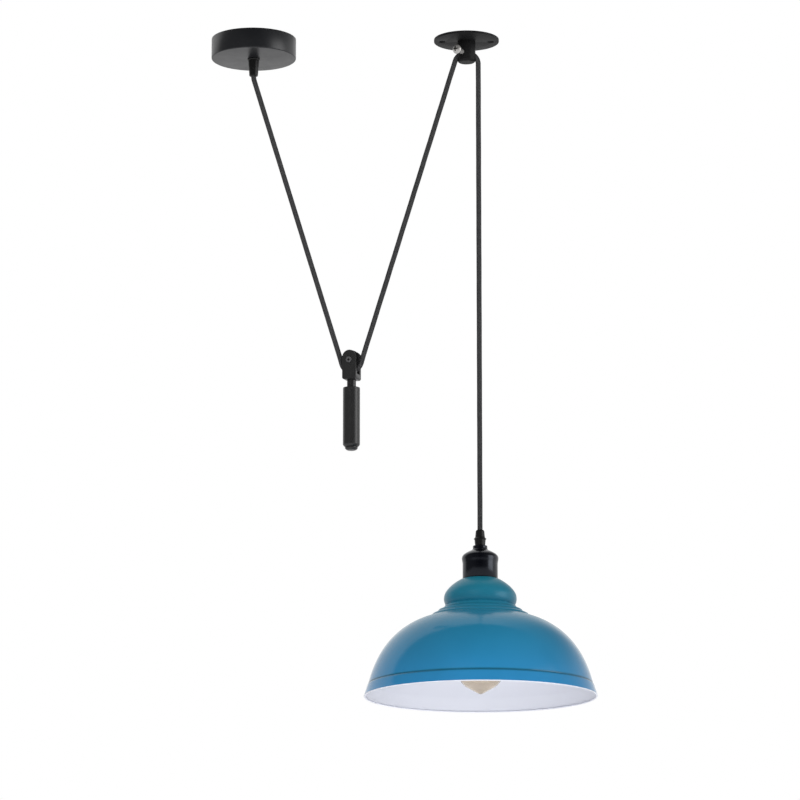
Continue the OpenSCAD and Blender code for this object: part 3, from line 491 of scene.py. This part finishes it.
def textileBraid():
    # plaits of dark yarn in two directions; U runs once round the flex, and V along it in metres
    finish = Finish("textileBraid")
    uv = finish.add("ShaderNodeUVMap", uv_map="braidMap").outputs["UV"]
    split = finish.add("ShaderNodeSeparateXYZ", {0: uv})
    around = finish.math("MULTIPLY", split.outputs["X"], flexLook["plaits"])
    along = finish.math("DIVIDE", split.outputs["Y"], flexLook["pitch"])
    rising = finish.math("ADD", around, along)
    falling = finish.math("SUBTRACT", around, along)

    def wave(slope, count):
        return finish.math("SINE", finish.math("MULTIPLY", slope, math.pi * count))

    checker = finish.math("MULTIPLY", wave(rising, 1), wave(falling, 1))
    onTop = finish.remap(checker, -0.12, 0.12, 0.0, 1.0)
    yarnsUp, yarnsDown = wave(rising, flexLook["yarns"]), wave(falling, flexLook["yarns"])
    yarn = finish.add("ShaderNodeMix", {0: onTop, 2: yarnsUp, 3: yarnsDown}, data_type="FLOAT").outputs[0]
    fuzz = finish.noise(2600.0, 3.0, 0.7)
    patch = finish.noise(60.0, 2.0, 0.5)
    lit = finish.remap(yarn, -1.0, 0.6, 0.0, 1.0)
    lines = finish.blend(lit, (0.011, 0.011, 0.012), (0.105, 0.105, 0.107))
    seams = finish.remap(finish.math("ABSOLUTE", checker), 0.0, 0.22, 0.75, 0.0)
    shaded = finish.blend(seams, lines, (0.006, 0.006, 0.007))
    colour = finish.blend(finish.math("MULTIPLY", fuzz, 0.35), shaded, (0.09, 0.09, 0.092))
    finish.set(Base_Color=finish.blend(finish.math("MULTIPLY", patch, 0.3), colour, (0.03, 0.03, 0.032)),
               Roughness=finish.remap(fuzz, 0.2, 0.8, 0.72, 0.95),
               Normal=finish.bump(finish.math("ADD", yarn, fuzz), 0.00008), Specular_IOR_Level=0.08)
    return finish.material


textile = textileBraid()


def arcLine(look, turnBy=0.0):
    points = []
    for i in range(look["parts"] + 1):
        angle = math.radians(look["start"] + (look["end"] - look["start"]) * i / look["parts"])
        flat = Vector((look["radius"] * math.cos(angle), 0, look["radius"] * math.sin(angle)))
        points.append(tuple(Vector(look["centre"]) + Matrix.Rotation(turnBy, 3, "Z") @ flat))
    return points


def spacedLine(path, gap):
    # the path again, with points about gap apart and soft at its own corners
    points = [Vector(path[0])]
    for start, end in zip(path, path[1:]):
        start, end = Vector(start), Vector(end)
        count = max(1, round((end - start).length / gap))
        points += [start.lerp(end, k / count) for k in range(1, count + 1)]
    for _ in range(flexLook["softPasses"]):
        middle = [(a + 2 * b + c) / 4 for a, b, c in zip(points, points[1:], points[2:])]
        points = [points[0], *middle, points[-1]]
    return points


def tubeAlong(name, line):
    # a plain tube with closed ends, as a bmesh
    data = bpy.data.curves.new(name + "Line", "CURVE")
    data.dimensions = "3D"
    data.twist_mode = "MINIMUM"
    spline = data.splines.new("POLY")
    spline.points.add(len(line) - 1)
    for point, place in zip(spline.points, line):
        point.co = (*place, 1.0)
    data.bevel_depth = flexLook["diameter"] / 2 - flexLook["relief"]
    data.bevel_resolution = flexLook["sides"] // 2 - 2
    data.use_fill_caps = True
    holder = bpy.data.objects.new(name + "Line", data)
    bpy.context.scene.collection.objects.link(holder)
    mesh = bpy.data.meshes.new_from_object(holder.evaluated_get(bpy.context.evaluated_depsgraph_get()))
    bpy.data.objects.remove(holder)
    bm = bmesh.new()
    bm.from_mesh(mesh)
    bpy.data.meshes.remove(mesh)
    return bm


def braidUp(bm, line):
    # lays the braid's plaits in relief, and the map for its finish
    layer = bm.loops.layers.uv.get("UVMap") or bm.loops.layers.uv.new("UVMap")
    braidMap = bm.loops.layers.uv.new("braidMap")
    total = sum((b - a).length for a, b in zip(line, line[1:]))
    bm.normal_update()
    lift = {}
    for face in bm.faces:
        for loop in face.loops:
            across, along = loop[layer].uv
            loop[braidMap].uv = (across, along * total)
            rising = across * flexLook["plaits"] + along * total / flexLook["pitch"]
            falling = across * flexLook["plaits"] - along * total / flexLook["pitch"]
            checker = math.sin(math.pi * rising) * math.sin(math.pi * falling)
            if len(face.verts) == 4:
                lift[loop.vert] = flexLook["relief"] * math.sqrt(abs(checker))
    for vert, height in lift.items():
        vert.co += vert.normal * height


def flexPiece(name, path, body, nodeName):
    line = spacedLine(path, flexLook["ringGap"])
    bm = tubeAlong(name, line)
    braidUp(bm, line)
    piece = show(nodeName, bm, body, [textile], sharp=80.0, name=name)
    return piece


flexPiece("flexArch", arcLine(archLook), "ceiling", "flex_arch")
flexPiece("flexWrap", arcLine(wrapLook, blockTurn), "weight", "flex_wrap")
flexLeft = flexPiece("flexLeft", leftLeg, None, "flex_left_leg")
flexRight = flexPiece("flexRight", rightLeg, None, "flex_right_leg")
flexDrop = flexPiece("flexDrop", dropLine, None, "flex_drop")


def straightBlend(piece, fixedBody, movingBody, start, end):
    # evens out the blend along a taut flex, so that it stays straight when it gets longer or shorter
    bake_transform(piece, fixedBody, movingBody, start=start, end=end)
    for share in piece.data.attributes["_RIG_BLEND"].data:
        share.value = 0.5 - math.sin(math.asin(1 - 2 * share.value) / 3)


straightBlend(flexLeft, "ceiling", "weight", leftLeg[-2], leftLeg[1])
straightBlend(flexRight, "ceiling", "weight", rightLeg[-1], rightLeg[1])
straightBlend(flexDrop, "ceiling", "lamp", dropLine[0], dropLine[-1])
print("flex made")


# Shade; sizes in millimetres, and points as (radius, depth below the top)

shadeLook = {
    "wall": 1.0,
    "topRadius": 22.4,
    "flange": 2.4,         # from the top edge in to the hole for the lampholder
    "wide": (45.2, 23.7),  # the neck where it is widest,
    "pinch": (43.0, 33.1),  # and where it is pinched over the steps
    "stepFace": 2.6,       # height of a step,
    "stepRun": 7.8,        # and how much wider the next one is
    "domeTop": (63.0, 47.7),
    "bead": (139.3, 131.1),
    "band": [(141.0, 135.0), (142.9, 141.1), (144.5, 146.0)],
    "groove": 0.95,
    "rimRoll": 1.1,
    "steps": 192,
}


def shadeLine():
    # the outside, from the top edge to the bead
    look = shadeLook
    top, wide, pinch = (look["topRadius"], 0.0), look["wide"], look["pinch"]
    line = [top]
    line += bezier(top, (top[0] + 3.3, top[1] + 1), (wide[0] - 0.2, wide[1] - 11.5), wide, 26)
    line += bezier(wide, (wide[0] + 0.5, wide[1] + 3.2), (pinch[0] + 1.6, pinch[1] - 2.4), pinch, 10)
    steps = []
    for i in range(3):
        for end in (0, 1):
            steps.append((pinch[0] + 1.4 + look["stepRun"] * i + 1.4 * end,
                          pinch[1] + 1.2 + look["stepFace"] * (2 * i + end)))
    line += eased([pinch, *steps, look["domeTop"]], 0.8, 4, closed=False)[1:]
    line += bezier(look["domeTop"], (107.6, 60.7), (129.0, 91.8), look["bead"], 64)
    return line


def makeShade():
    look = shadeLook
    top = topOf("shade")
    radius, rim = widthOf("shade") / 2 / mm, (top - footOf("shade")) / mm
    dome, band, bead = shadeLine(), look["band"], look["bead"]
    rollRadius, wall = look["rimRoll"], look["wall"]
    groove = [(bead[0] + 0.2, bead[1] + 0.7), (bead[0] + 0.75 - look["groove"], bead[1] + 1.6),
              (bead[0] + 1.25, bead[1] + 2.6)]
    roll = roundCorner((radius - rollRadius, rim - rollRadius), rollRadius, range(0, 181, 20))
    inside = movedSideways(dome + band + [(radius - 0.1, rim - 1.2)], wall)
    hole = look["topRadius"] - look["flange"]
    outline = [(hole, 0.0), *dome, *eased(groove, 0.2, 2, closed=False), *band, *roll, *inside[::-1],
               (hole, wall)]
    bm = turnedBelow(top, outline, lampX, look["steps"])
    tidyMesh(bm)
    rimTop = top - (rim - rollRadius) * mm
    for face in bm.faces:
        centre = face.calc_center_median()
        out = Vector((centre.x - lampX, centre.y, 0)).normalized()
        onRim = centre.z < rimTop and face.normal.z < 0.1
        face.material_index = 1 if onRim or face.normal.dot(out) + 0.3 * face.normal.z < 0 else 0
    show("shade", bm, "lamp", [blueEnamel, whiteEnamel], sharp=50.0)


makeShade()
print("shade made")


# Lampholder and its cord grip; sizes in millimetres, and points as (radius, depth below the top)

holderLook = {
    "neck": (9.1, 3.2),
    "shoulder": (22.9, 16.5),
    "straight": (21.95, 23.5),
    "wall": 1.0,
    "ringRibs": 40,
}


def makeHolderCover():
    look = holderLook
    top = topOf("holder_cover")
    height = (top - footOf("holder_cover")) / mm
    neck, wide, straight, wall = look["neck"], look["shoulder"], look["straight"], look["wall"]
    mid = (neck[0] + 6.2, neck[1] + 4.8)
    outside = [(5.2, 0.0), (neck[0] - 0.8, 0.0), (neck[0] - 0.1, 0.5), (neck[0], 1.2), neck]
    outside += bezier(neck, (neck[0] + 0.4, neck[1] + 2.6), (mid[0] - 3, mid[1] - 1.6), mid, 10)
    outside += bezier(mid, (mid[0] + 4.6, mid[1] + 2.4), (wide[0], wide[1] - 4.0), wide, 16)
    outside += bezier(wide, (wide[0], wide[1] + 1.6), (straight[0], straight[1] - 2.2), straight, 8)
    outside += [(straight[0], height - 0.3), (straight[0] - 0.3, height)]
    inside = [(straight[0] - wall, height), (straight[0] - wall, straight[1])]
    inside += bezier(inside[-1], (straight[0] - wall, straight[1] - 2), (wide[0] - wall, wide[1] + 2),
                     (wide[0] - wall, wide[1]), 6)
    inside += bezier(inside[-1], (wide[0] - wall, wide[1] - 3.4), (mid[0] + 4.0, mid[1] + 3.1),
                     (mid[0] - 0.4, mid[1] + 1.0), 10)
    inside += bezier(inside[-1], (mid[0] - 3.4, mid[1] - 0.6), (neck[0] - 0.7, neck[1] + 2.2),
                     (neck[0] - 1.0, neck[1]), 8)
    inside += [(neck[0] - 1.0, 1.0), (5.2, 1.0)]
    bm = turnedBelow(top, outside + inside, lampX, 128)
    showTurned("holder_cover", bm, "lamp", holderBlack, sharp=50.0)


def makeLampGrip():
    top = topOf("lamp_grip")
    height = (top - footOf("lamp_grip")) / mm
    ringTop, ringMid, ringLow = 9.2, 11.1, 12.4
    outside = [(3.45, 0.2), (4.3, 0.0), (4.8, 0.4), (5.4, 1.6), (6.1, ringTop - 0.3), (6.2, ringTop),
               (7.2, ringMid - 0.6), (8.1, ringMid), (7.3, ringLow - 0.5), (6.9, ringLow),
               (6.7, ringLow + 3.4), (6.4, height - 0.5), (6.2, height)]
    inside = [(5.05, height), (5.05, ringLow), (3.45, ringLow - 0.6)]
    bm = turnedBelow(top, eased(outside + inside, 0.45), lampX, 72)
    showTurned("lamp_grip", bm, "lamp", gripBlack)


def makeSleeve():
    # threaded sleeve, with its lip in the cover and its thread down to the open end
    top = topOf("holder_sleeve")
    height = (top - footOf("holder_sleeve")) / mm
    bore, root, crest, lip, lipLow = 18.2, 18.75, 19.45, 20.8, 6.0
    pitch, threadTop, turns = 3.0, 9.5, 10.3
    outline = [(lip, 0.0), (lip, lipLow), (root, lipLow + 0.6), (root, height), (bore, height), (bore, 0.0)]
    bm = turnedBelow(top, eased(outline, 0.25, 3), lampX)
    helix(bm, lampX, top - threadTop * mm, root * mm, crest * mm, pitch * mm, turns, 48)
    showTurned("holder_sleeve", bm, "lamp", ringBlack)


def makeShadeRing():
    # ribbed ring that screws up under the shade; two columns of faces in three stand out as ribs
    top, low = topOf("shade_ring"), footOf("shade_ring")
    radius, ribs = widthOf("shade_ring") / 2, holderLook["ringRibs"]
    bore, ribFoot, ribHeight = 19.6 * mm, radius - 0.6 * mm, 0.58 * mm
    outline = [(ribFoot, top), (ribFoot, low), (bore, low), (bore, top)]
    bm = turned(eased(outline, 0.5 * mm, 3), lampX, ribs * 3)
    tidyMesh(bm)
    ribFaces = []
    for face in bm.faces:
        centre = face.calc_center_median()
        out = Vector((centre.x - lampX, centre.y, 0))
        if face.normal.dot(out.normalized()) < 0.9:
            continue
        column = (math.degrees(math.atan2(out.y, out.x)) % 360) / (360 / (ribs * 3))
        if int(column) % 3 != 0 and out.length > ribFoot - 0.2 * mm:
            ribFaces.append(face)
    grown = bmesh.ops.extrude_face_region(bm, geom=ribFaces)
    for vert in (item for item in grown["geom"] if isinstance(item, bmesh.types.BMVert)):
        out = Vector((vert.co.x - lampX, vert.co.y, 0)).normalized()
        vert.co += out * ribHeight
    bmesh.ops.delete(bm, geom=ribFaces, context="FACES_ONLY")
    bmesh.ops.recalc_face_normals(bm, faces=bm.faces)
    show("shade_ring", bm, "lamp", [ringBlack], sharp=30.0)


def makeScrewShell():
    # thin metal shell that the bulb's cap goes into
    top, foot = topOf("screw_shell") / mm, footOf("screw_shell") / mm
    outer, bore, hole, sheet = 13.85, 13.45, 7.0, 0.45
    outline = [(hole, top), (outer, top), (outer, foot), (bore, foot), (bore, top - sheet),
               (hole, top - sheet)]
    bm = turned([(r * mm, z * mm) for r, z in outline], lampX, 72)
    showTurned("screw_shell", bm, "lamp", warmBrass)


makeHolderCover()
makeLampGrip()
makeSleeve()
makeShadeRing()
dress("lamp_grip_collet", "lamp", ivoryNylon)
dress("holder_nipple", "lamp", warmBrass, 0.1)
dress("holder_nut", "lamp", warmBrass)
dress("holder_insert", "lamp", porcelain, 0.4, 3)
dress("holder_screws", "lamp", warmBrass)
dress("holder_cores", "lamp", brownCore, 0)
dress("centre_contact", "lamp", warmBrass)
dress("flex_lamp_tail", "lamp", sheathBlack, 0.1)
makeScrewShell()
print("lampholder made")


# Bulb

bulbLook = {
    "neck": 11.2,
    "wide": 32.0,
    "wideHeight": 45.0,    # above the tip
    "wall": 0.7,
    "capPitch": 3.629,     # of the cap's thread
}


def makeBulb():
    # outline in (radius, height), millimetres
    look = bulbLook
    top, tip = topOf("bulb_glass") / mm, footOf("bulb_glass") / mm
    lip, wide = (look["neck"], footOf("bulb_cap") / mm), (look["wide"], tip + look["wideHeight"])
    low, point = (look["wide"] * 0.52, tip + 8.2), (2.2, tip + 0.6)
    outside = [(look["neck"], top), lip]
    outside += bezier(lip, (lip[0] + 1.6, lip[1] - 18), (wide[0], wide[1] + 24), wide, 24)
    outside += bezier(wide, (wide[0], wide[1] - 20), (low[0] + 8, low[1] + 4), low, 20)
    outside += bezier(low, (low[0] - 6, low[1] - 3), (point[0] + 2.4, point[1] + 0.8), point, 12)
    outside += bezier(point, (1.4, tip + 0.15), (0.7, tip), (0.0, tip), 4)
    inside = movedSideways(outside, -look["wall"])[:-3]
    outline = [*outside, (0.0, tip + 2.2), *inside[::-1], (look["neck"] - look["wall"], top)]
    bm = turned([(r * mm, z * mm) for r, z in outline], lampX)
    showTurned("bulb_glass", bm, "lamp", amberGlass, sharp=60.0)


def makeBulbCap():
    # thin cap with a thread wound round its core
    top, foot = topOf("bulb_cap") / mm, footOf("bulb_cap") / mm
    crest = widthOf("bulb_cap") / 2 / mm
    root, bore = crest - 0.95, 11.5
    outline = [(bore + 0.05, top), (root - 0.3, top - 2.2), (root, foot + 3.4), (crest - 0.2, foot + 3.0),
               (crest - 0.2, foot), (bore, foot), (bore, top - 1.0)]
    bm = turned([(r * mm, z * mm) for r, z in eased(outline, 0.3, 3)], lampX, 72)
    helix(bm, lampX, (top - 4.2) * mm, root * mm, (crest - 0.02) * mm, bulbLook["capPitch"] * mm, 3.6)
    showTurned("bulb_cap", bm, "lamp", capMetal)


makeBulb()
makeBulbCap()
dress("bulb_insulator", "lamp", capGlass)
dress("bulb_contact", "lamp", zincSteel, 0.3, 3)
dress("bulb_mount", "lamp", clearGlass, 0)
dress("bulb_filament", "lamp", filamentWire, 0)
print("bulb made")


# Ceiling rose

# Sizes in millimetres
roseLook = {"wall": 1.2, "edge": 1.3, "bore": 5.15, "steps": 160}
roseGripLook = {
    "bore": 5.05,          # over the nipple
    "colletBore": 4.45,
    "mouth": 3.42,         # round the flex
    "wide": 6.9,
    "narrow": 5.55,
}


def makeRoseCover():
    look = roseLook
    low, radius = footOf("rose_cover"), widthOf("rose_cover") / 2
    wall, edge, bore = look["wall"] * mm, look["edge"] * mm, look["bore"] * mm

    def corner(outerRadius, height, r):
        return roundCorner((outerRadius - r, height + r), r, range(0, -91, -10))

    chamfer = 0.25 * mm
    outline = [(radius - chamfer, 0.0), (radius, -chamfer), *corner(radius, low, edge), (bore, low),
               (bore, low + wall), *corner(radius - wall, low + wall, edge - wall)[::-1],
               (radius - wall, 0.0)]
    bm = turned(outline, roseX, look["steps"])
    showTurned("rose_cover", bm, "ceiling", roseBlack, sharp=50.0)


def makeRoseGrip():
    # outlines in (radius, depth below the top), millimetres
    look = roseGripLook
    top, bore = topOf("rose_grip_flange"), look["bore"]
    radius, height = widthOf("rose_grip_flange") / 2 / mm, (top - footOf("rose_grip_flange")) / mm
    outline = [(bore, 0), (radius, 0), (radius, 1.0), (radius - 1.0, height), (bore, height)]
    bm = turnedBelow(top, eased(outline, 0.25, 3), roseX)
    showTurned("rose_grip_flange", bm, "ceiling", gripBlack)

    top = topOf("rose_grip_cone")
    height = (top - footOf("rose_grip_cone")) / mm
    wide, narrow, colletBore, mouth = look["wide"], look["narrow"], look["colletBore"], look["mouth"]
    outline = [(bore, 0), (wide - 0.1, 0), (wide, 0.8), (wide - 0.15, 2.2), (narrow, height - 0.5),
               (narrow - 0.3, height), (mouth + 0.28, height), (mouth, height - 0.4), (mouth, height - 1.6),
               (colletBore, height - 1.7), (colletBore, 8.5), (bore, 8.6)]
    bm = turnedBelow(top, eased(outline, 0.3, 3), roseX, 72)
    showTurned("rose_grip_cone", bm, "ceiling", gripBlack)


makeRoseCover()
makeRoseGrip()
dress("rose_bracket", "ceiling", zincSteel)
dress("rose_nipple", "ceiling", warmBrass)
dress("rose_nipple_nut", "ceiling", warmBrass, 0.3)
dress("rose_grip_collet", "ceiling", ivoryNylon)
dress("terminal_block", "ceiling", ivoryNylon, 0.35, 3)
dress("clamp_screws", "ceiling", zincSteel, 0.12)
dress("block_screw", "ceiling", zincSteel)
dress("earth_lug", "ceiling", zincSteel, 0.12)
dress("earth_screw", "ceiling", warmBrass)
dress("core_live", "ceiling", brownCore, 0)
dress("core_neutral", "ceiling", blueCore, 0)
dress("core_earth", "ceiling", greenCore, 0)
dress("flex_rose_tail", "ceiling", sheathBlack, 0.1)
print("rose made")


# Suspension plate, boss and lock screw

dress("suspension_plate", "ceiling", plateBlack, 0.35, 3)
dress("cord_boss", "ceiling", plateBlack, 0.35, 3)
dress("boss_screw", "ceiling", zincSteel, 0.12)

lockTurn = math.radians(58)    # how far the lock screw points forward from the left
lockOut = Vector((-math.cos(lockTurn), -math.sin(lockTurn), 0))
lockHead = headTopOf("lock_screw", lockOut, Vector((0, 0, middleOf("lock_screw").z)))
dressScrew("lock_screw", "lock", wornSteel, lockHead, lockOut,
           reach=3.7 * mm, depth=1.6 * mm, edgeWidth=0.15 * mm)
print("plate made")


# Pulley and counterweight

# Sizes in millimetres
weightLook = {
    "rod": 3.05,           # bore for the rod
    "capFloor": 1.8,
    "capShort": 1.0,       # by which the cap ends above its solid's end
}


def makeWeight():
    # outlines in (radius, depth below the top), millimetres
    rod, capFloor = weightLook["rod"], weightLook["capFloor"]

    def part(nodeName, shorter=0.0):
        top = topOf(nodeName)
        return top, widthOf(nodeName) / 2 / mm, (top - footOf(nodeName)) / mm - shorter

    top, radius, height = part("counterweight")
    outline = [(rod, 0), (radius - 0.5, 0), (radius, 0.5), (radius, height - 2.6), (radius - 2.4, height),
               (rod, height)]
    bm = turnedBelow(top, eased(outline, 1.2, 6), weightX)
    showTurned("counterweight", bm, "weight", blockBlack)
    top, radius, height = part("weight_collar")
    outline = [(rod, 0), (radius, 0), (radius, height), (rod, height)]
    bm = turnedBelow(top, eased(outline, 0.3, 3), weightX)
    showTurned("weight_collar", bm, "weight", blockBlack)
    top, radius, height = part("weight_cap", weightLook["capShort"])
    outline = [(rod, 0), (radius, 0), (radius, height - 2.6), (radius - 1.3, height - 0.9),
               (radius - 3.2, height), (0.0, height), (0.0, height - capFloor), (rod, height - capFloor)]
    bm = turnedBelow(top, eased(outline, 0.7), weightX)
    showTurned("weight_cap", bm, "weight", blockBlack)


makeWeight()
dress("weight_rod", "weight", zincSteel, 0.3)
dress("pulley_block", "weight", blockBlack, 0.55, 4)
axleOut = Matrix.Rotation(blockTurn, 3, "Z") @ Vector((0, -1, 0))
axleHead = headTopOf("axle_screw", axleOut, middleOf("axle_screw"))
dressScrew("axle_screw", "weight", darkScrew, axleHead, axleOut,
           reach=2.0 * mm, depth=1.2 * mm, edgeWidth=0.12 * mm)
dress("axle_nut", "weight", darkScrew, 0.25, 3)
dress("sheave", "pulley", pulleyBlack, 0.25, 3)
dress("sheave_bush", "pulley", warmBrass, 0.1)
print("pulley and weight made")


# Light and surroundings

studioLook = {
    "floorDepth": -3.4,
    "floorReach": 14.0,
    "floorShown": 1.0,     # white where it is seen, as in the photo,
    "floorGloss": 0.45,    # and a pale tone where gloss mirrors it
    "fill": 0.38,          # light from all round on dull surfaces
    "shown": 1.0,          # white behind the lamp
    "front": 0.03,         # what gloss mirrors of the room: in front,
    "left": 0.20,          # to the left,
    "right": 0.26,         # and to the right
    "overhead": 0.17,      # lean of the bright ceiling's edge
    "turnBack": 0.45,      # how it turns back on the left,
    "turnStart": 0.3,      # and from where
    "edgeSoftness": 0.05,
    "dimRight": 0.75,      # how far the ceiling is darker to the right
}
# A tall softbox to the right, as gloss mirrors it; its angles in degrees from straight in front
softboxLook = {"level": 3.4, "bearing": 72, "half": 12, "fade": 24, "middle": 0.05, "tall": 0.25, "end": 0.55}


def makeFloor():
    look = studioLook
    bm = bmesh.new()
    bmesh.ops.create_grid(bm, x_segments=2, y_segments=2, size=look["floorReach"])
    bmesh.ops.translate(bm, verts=bm.verts, vec=(0, 0, look["floorDepth"]))
    mesh = bpy.data.meshes.new("floor")
    bm.to_mesh(mesh)
    bm.free()
    finish = Finish("floorPaper")
    path = finish.add("ShaderNodeLightPath").outputs
    mirrored = finish.math("MAXIMUM", path["Is Glossy Ray"], path["Is Transmission Ray"])
    mirrored = finish.math("MULTIPLY", mirrored, look["floorGloss"])
    seen = finish.math("MULTIPLY", path["Is Camera Ray"], look["floorShown"])
    finish.set(Base_Color=finish.blend(finish.noise(2.0, 3.0), (0.80, 0.80, 0.81), (0.86, 0.86, 0.87)),
               Roughness=0.8, Emission_Color=(1, 1, 1, 1),
               Emission_Strength=finish.math("MAXIMUM", mirrored, seen))
    mesh.materials.append(finish.material)
    floor = bpy.data.objects.new("floor", mesh)
    bpy.context.scene.collection.objects.link(floor)


def makeWorld():
    # white behind, a bright ceiling that ends over the lamp, and a dim room in front
    look, softbox = studioLook, softboxLook
    world = bpy.data.worlds.new("studio")
    world.use_nodes = True
    tree = world.node_tree
    tree.nodes.clear()

    def sums(operation, a, b=0.0):
        return wired(tree, "ShaderNodeMath", {0: a, 1: b}, operation=operation).outputs[0]

    def ramp(value, low, high, newLow, newHigh):
        inputs = {"Value": value, "From Min": low, "From Max": high, "To Min": newLow, "To Max": newHigh}
        return wired(tree, "ShaderNodeMapRange", inputs, interpolation_type="SMOOTHSTEP").outputs["Result"]

    def either(share, first, second):
        return wired(tree, "ShaderNodeMix", {0: share, 2: first, 3: second}, data_type="FLOAT").outputs[0]

    coords = wired(tree, "ShaderNodeTexCoord", {}).outputs["Object"]
    direction = wired(tree, "ShaderNodeSeparateXYZ", {0: coords}).outputs
    x, y, z = direction["X"], direction["Y"], direction["Z"]

    # the ceiling: its edge leans over the lamp, and turns back on the left
    leftward = sums("MAXIMUM", sums("SUBTRACT", sums("MULTIPLY", x, -1.0), look["turnStart"]), 0.0)
    edge = sums("SUBTRACT", y, sums("ADD", sums("MULTIPLY", sums("MAXIMUM", z, 0.0), look["overhead"]),
                                    sums("MULTIPLY", leftward, look["turnBack"])))
    behind = ramp(edge, -look["edgeSoftness"], look["edgeSoftness"], 0.0, 1.0)
    dimmed = sums("MULTIPLY", ramp(x, 0.05, 0.5, 0.0, look["dimRight"]), ramp(z, 0.2, 0.7, 0.0, 1.0))
    ceiling = sums("SUBTRACT", look["shown"], dimmed)

    # the room in front, with the softbox
    room = sums("ADD", ramp(x, 0.0, 1.0, look["front"], look["right"]),
                ramp(x, -1.0, 0.0, look["left"] - look["front"], 0.0))
    bearing = sums("ARCTAN2", x, sums("MULTIPLY", y, -1.0))
    aside = sums("ABSOLUTE", sums("SUBTRACT", bearing, math.radians(softbox["bearing"])))
    across = ramp(aside, math.radians(softbox["half"]), math.radians(softbox["fade"]), 1.0, 0.0)
    upright = ramp(sums("ABSOLUTE", sums("SUBTRACT", z, softbox["middle"])), softbox["tall"], softbox["end"],
                   1.0, 0.0)
    room = sums("ADD", room, sums("MULTIPLY", softbox["level"], sums("MULTIPLY", across, upright)))

    path = wired(tree, "ShaderNodeLightPath", {}).outputs
    glossy = sums("MAXIMUM", path["Is Glossy Ray"], path["Is Transmission Ray"])
    level = either(glossy, look["fill"], either(behind, room, ceiling))
    level = either(path["Is Camera Ray"], level, look["shown"])
    background = wired(tree, "ShaderNodeBackground", {"Color": (1, 1, 1, 1), "Strength": level})
    wired(tree, "ShaderNodeOutputWorld", {"Surface": background.outputs[0]})
    bpy.context.scene.world = world


# Lamps that gloss doesn't mirror
lampsLook = [
    {"name": "key", "place": (-1.3, -3.4, 0.9), "aim": (-0.06, 0, -0.45), "size": (2.2, 2.2), "power": 66.0},
    {"name": "side", "place": (2.6, -1.2, -0.3), "aim": (-0.06, 0, -0.45), "size": (1.2, 2.2), "power": 24.0},
    {"name": "under", "place": (0.1, -1.0, -2.9), "aim": (0.0, 0, -0.8), "size": (3.0, 3.0), "power": 56.0},
]


def makeLamps():
    for look in lampsLook:
        data = bpy.data.lights.new(look["name"], "AREA")
        data.shape = "RECTANGLE"
        data.size, data.size_y = look["size"]
        data.energy = look["power"]
        lamp = bpy.data.objects.new(look["name"], data)
        lamp.location = look["place"]
        towards = Vector(look["aim"]) - Vector(look["place"])
        lamp.rotation_euler = towards.to_track_quat("-Z", "Y").to_euler()
        lamp.visible_glossy = False
        lamp.visible_camera = False
        bpy.context.scene.collection.objects.link(lamp)


makeFloor()
makeWorld()
makeLamps()
print("light made")
